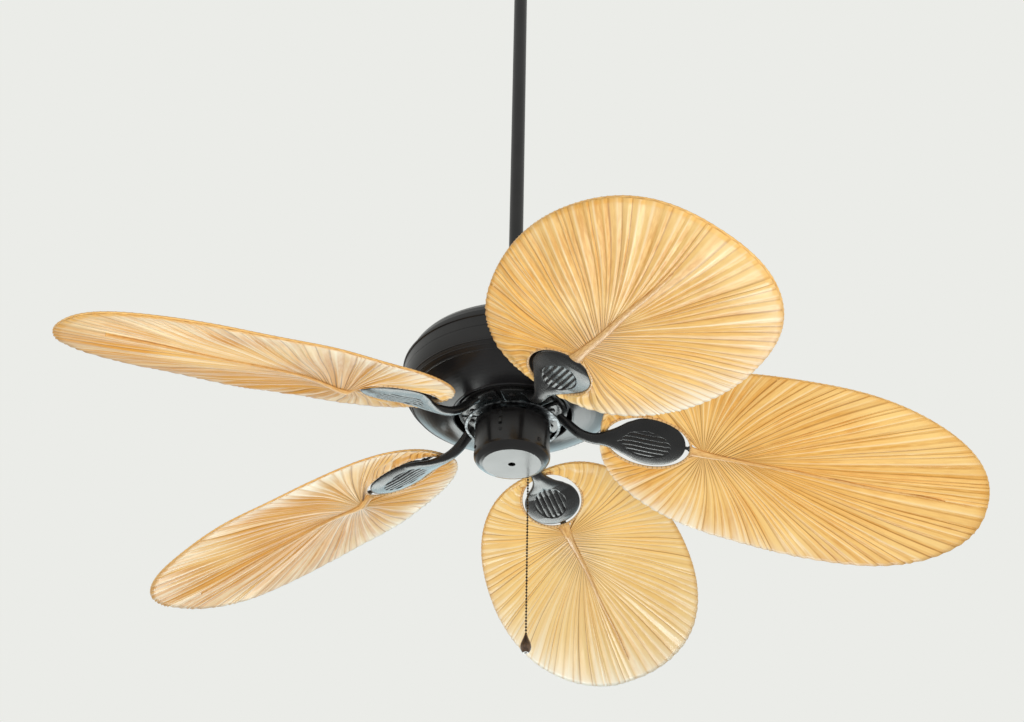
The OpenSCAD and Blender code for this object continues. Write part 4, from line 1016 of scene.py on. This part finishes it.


# each cane's third colour is painted shade in its binding's grooves
rim_cane = cane_material("rim_cane", srgb(246, 202, 128), srgb(222, 168, 94), srgb(164, 112, 56), 0.40)
hoop_bark = cane_material("hoop_bark", srgb(228, 190, 134), srgb(204, 158, 98), srgb(160, 116, 68), 0.30)
leaf_stem = cane_material("leaf_stem", srgb(232, 188, 120), srgb(204, 150, 84), srgb(150, 100, 50), 0.40)
for k in range(blade_count):
    number = k + 1
    for name, material, (points, quads, *caps, values) in (
        ("rim", rim_cane, rim_shell(k)),
        ("hoop", hoop_bark, hoop_shell()),
        ("stem", leaf_stem, stem_shell(k)),
    ):
        piece = mesh_piece(
            f"leaf_{name}_{number}", placed(points, k), quads, material, "rotor",
            caps[0] if caps else (), values,
        )
        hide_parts(f"leaf_frame_{number}")

# Blade clamps. A flat black frame lies on each paddle's upper face, and
# its straps reach over the hoop. Two screws join it to the paddle.
for number in range(1, blade_count + 1):
    dress(f"blade_clamp_{number}", cast_black)
dress("blade_screws", zinc_plate)

# Studio. A pale floor far below takes the object's shadow, the ground
# behind it is near white, and soft light comes from below and from a far
# window, as in the photograph.
floor_height = -6.0
floor_half = 19.0
corners = [(x * floor_half, y * floor_half, floor_height) for x, y in ((-1, -1), (1, -1), (1, 1), (-1, 1))]
floor_data = bpy.data.meshes.new("floor")
floor_data.from_pydata(corners, [], [(0, 1, 2, 3)])
floor = bpy.data.objects.new("floor", floor_data)
bpy.context.scene.collection.objects.link(floor)
floor_data.materials.append(
    wear_and_glint_material("floor_paint", srgb(226, 226, 223), srgb(220, 220, 217), 0.8, 0.05, patch=0.7, grain=40.0)
)

world = bpy.data.worlds.new("studio")
bpy.context.scene.world = world
world.use_nodes = True
sky = world.node_tree
sky.nodes.clear()
ambient = add(sky, "ShaderNodeBackground", {"Color": srgb(246, 248, 250), "Strength": 0.6})
backdrop = add(sky, "ShaderNodeBackground", {"Color": srgb(235, 236, 232), "Strength": 1.0})
light_path = add(sky, "ShaderNodeLightPath").outputs
seen = maths(sky, "MAXIMUM", light_path["Is Camera Ray"], light_path["Is Transmission Ray"])
seen = maths(sky, "MAXIMUM", seen, light_path["Is Glossy Ray"])
shown = add(sky, "ShaderNodeMixShader", {0: seen, 1: ambient.outputs[0], 2: backdrop.outputs[0]})
add(sky, "ShaderNodeOutputWorld", {"Surface": shown.outputs[0]})


def softbox(name, place, target, size, radiance, colour):
    """Area light aimed at a point, unseen by the camera. Its power is radiance times pi times its area."""
    data = bpy.data.lights.new(name, "AREA")
    data.shape = "RECTANGLE"
    data.size, data.size_y = size
    data.energy = radiance * math.pi * size[0] * size[1]
    data.color = colour
    light = bpy.data.objects.new(name, data)
    aim = (Vector(target) - Vector(place)).to_track_quat("-Z", "Y")
    light.matrix_world = Matrix.Translation(place) @ aim.to_matrix().to_4x4()
    light.visible_camera = False
    bpy.context.scene.collection.objects.link(light)
    return light


far_floor = softbox(
    "far_floor", (0.2, 2.55, -2.5), (0.0, 0.0, -1.1), (2.2, 0.9), 6.8, (0.95, 1.0, 0.97)
)
far_window = softbox(
    "far_window", (0.55, 2.45, -1.3), (0.0, 0.0, -1.15), (2.9, 1.5), 1.9, (0.6, 0.88, 0.96)
)
for light in (far_floor, far_window):
    light.visible_diffuse = False
ground_light = softbox(
    "ground_light", (0.0, -1.75, -2.9), (0.0, -0.75, -0.75), (4.0, 2.36), 2.15, (1.0, 0.99, 0.97)
)
ground_light.visible_glossy = False
bpy.context.scene.view_settings.view_transform = "Standard"
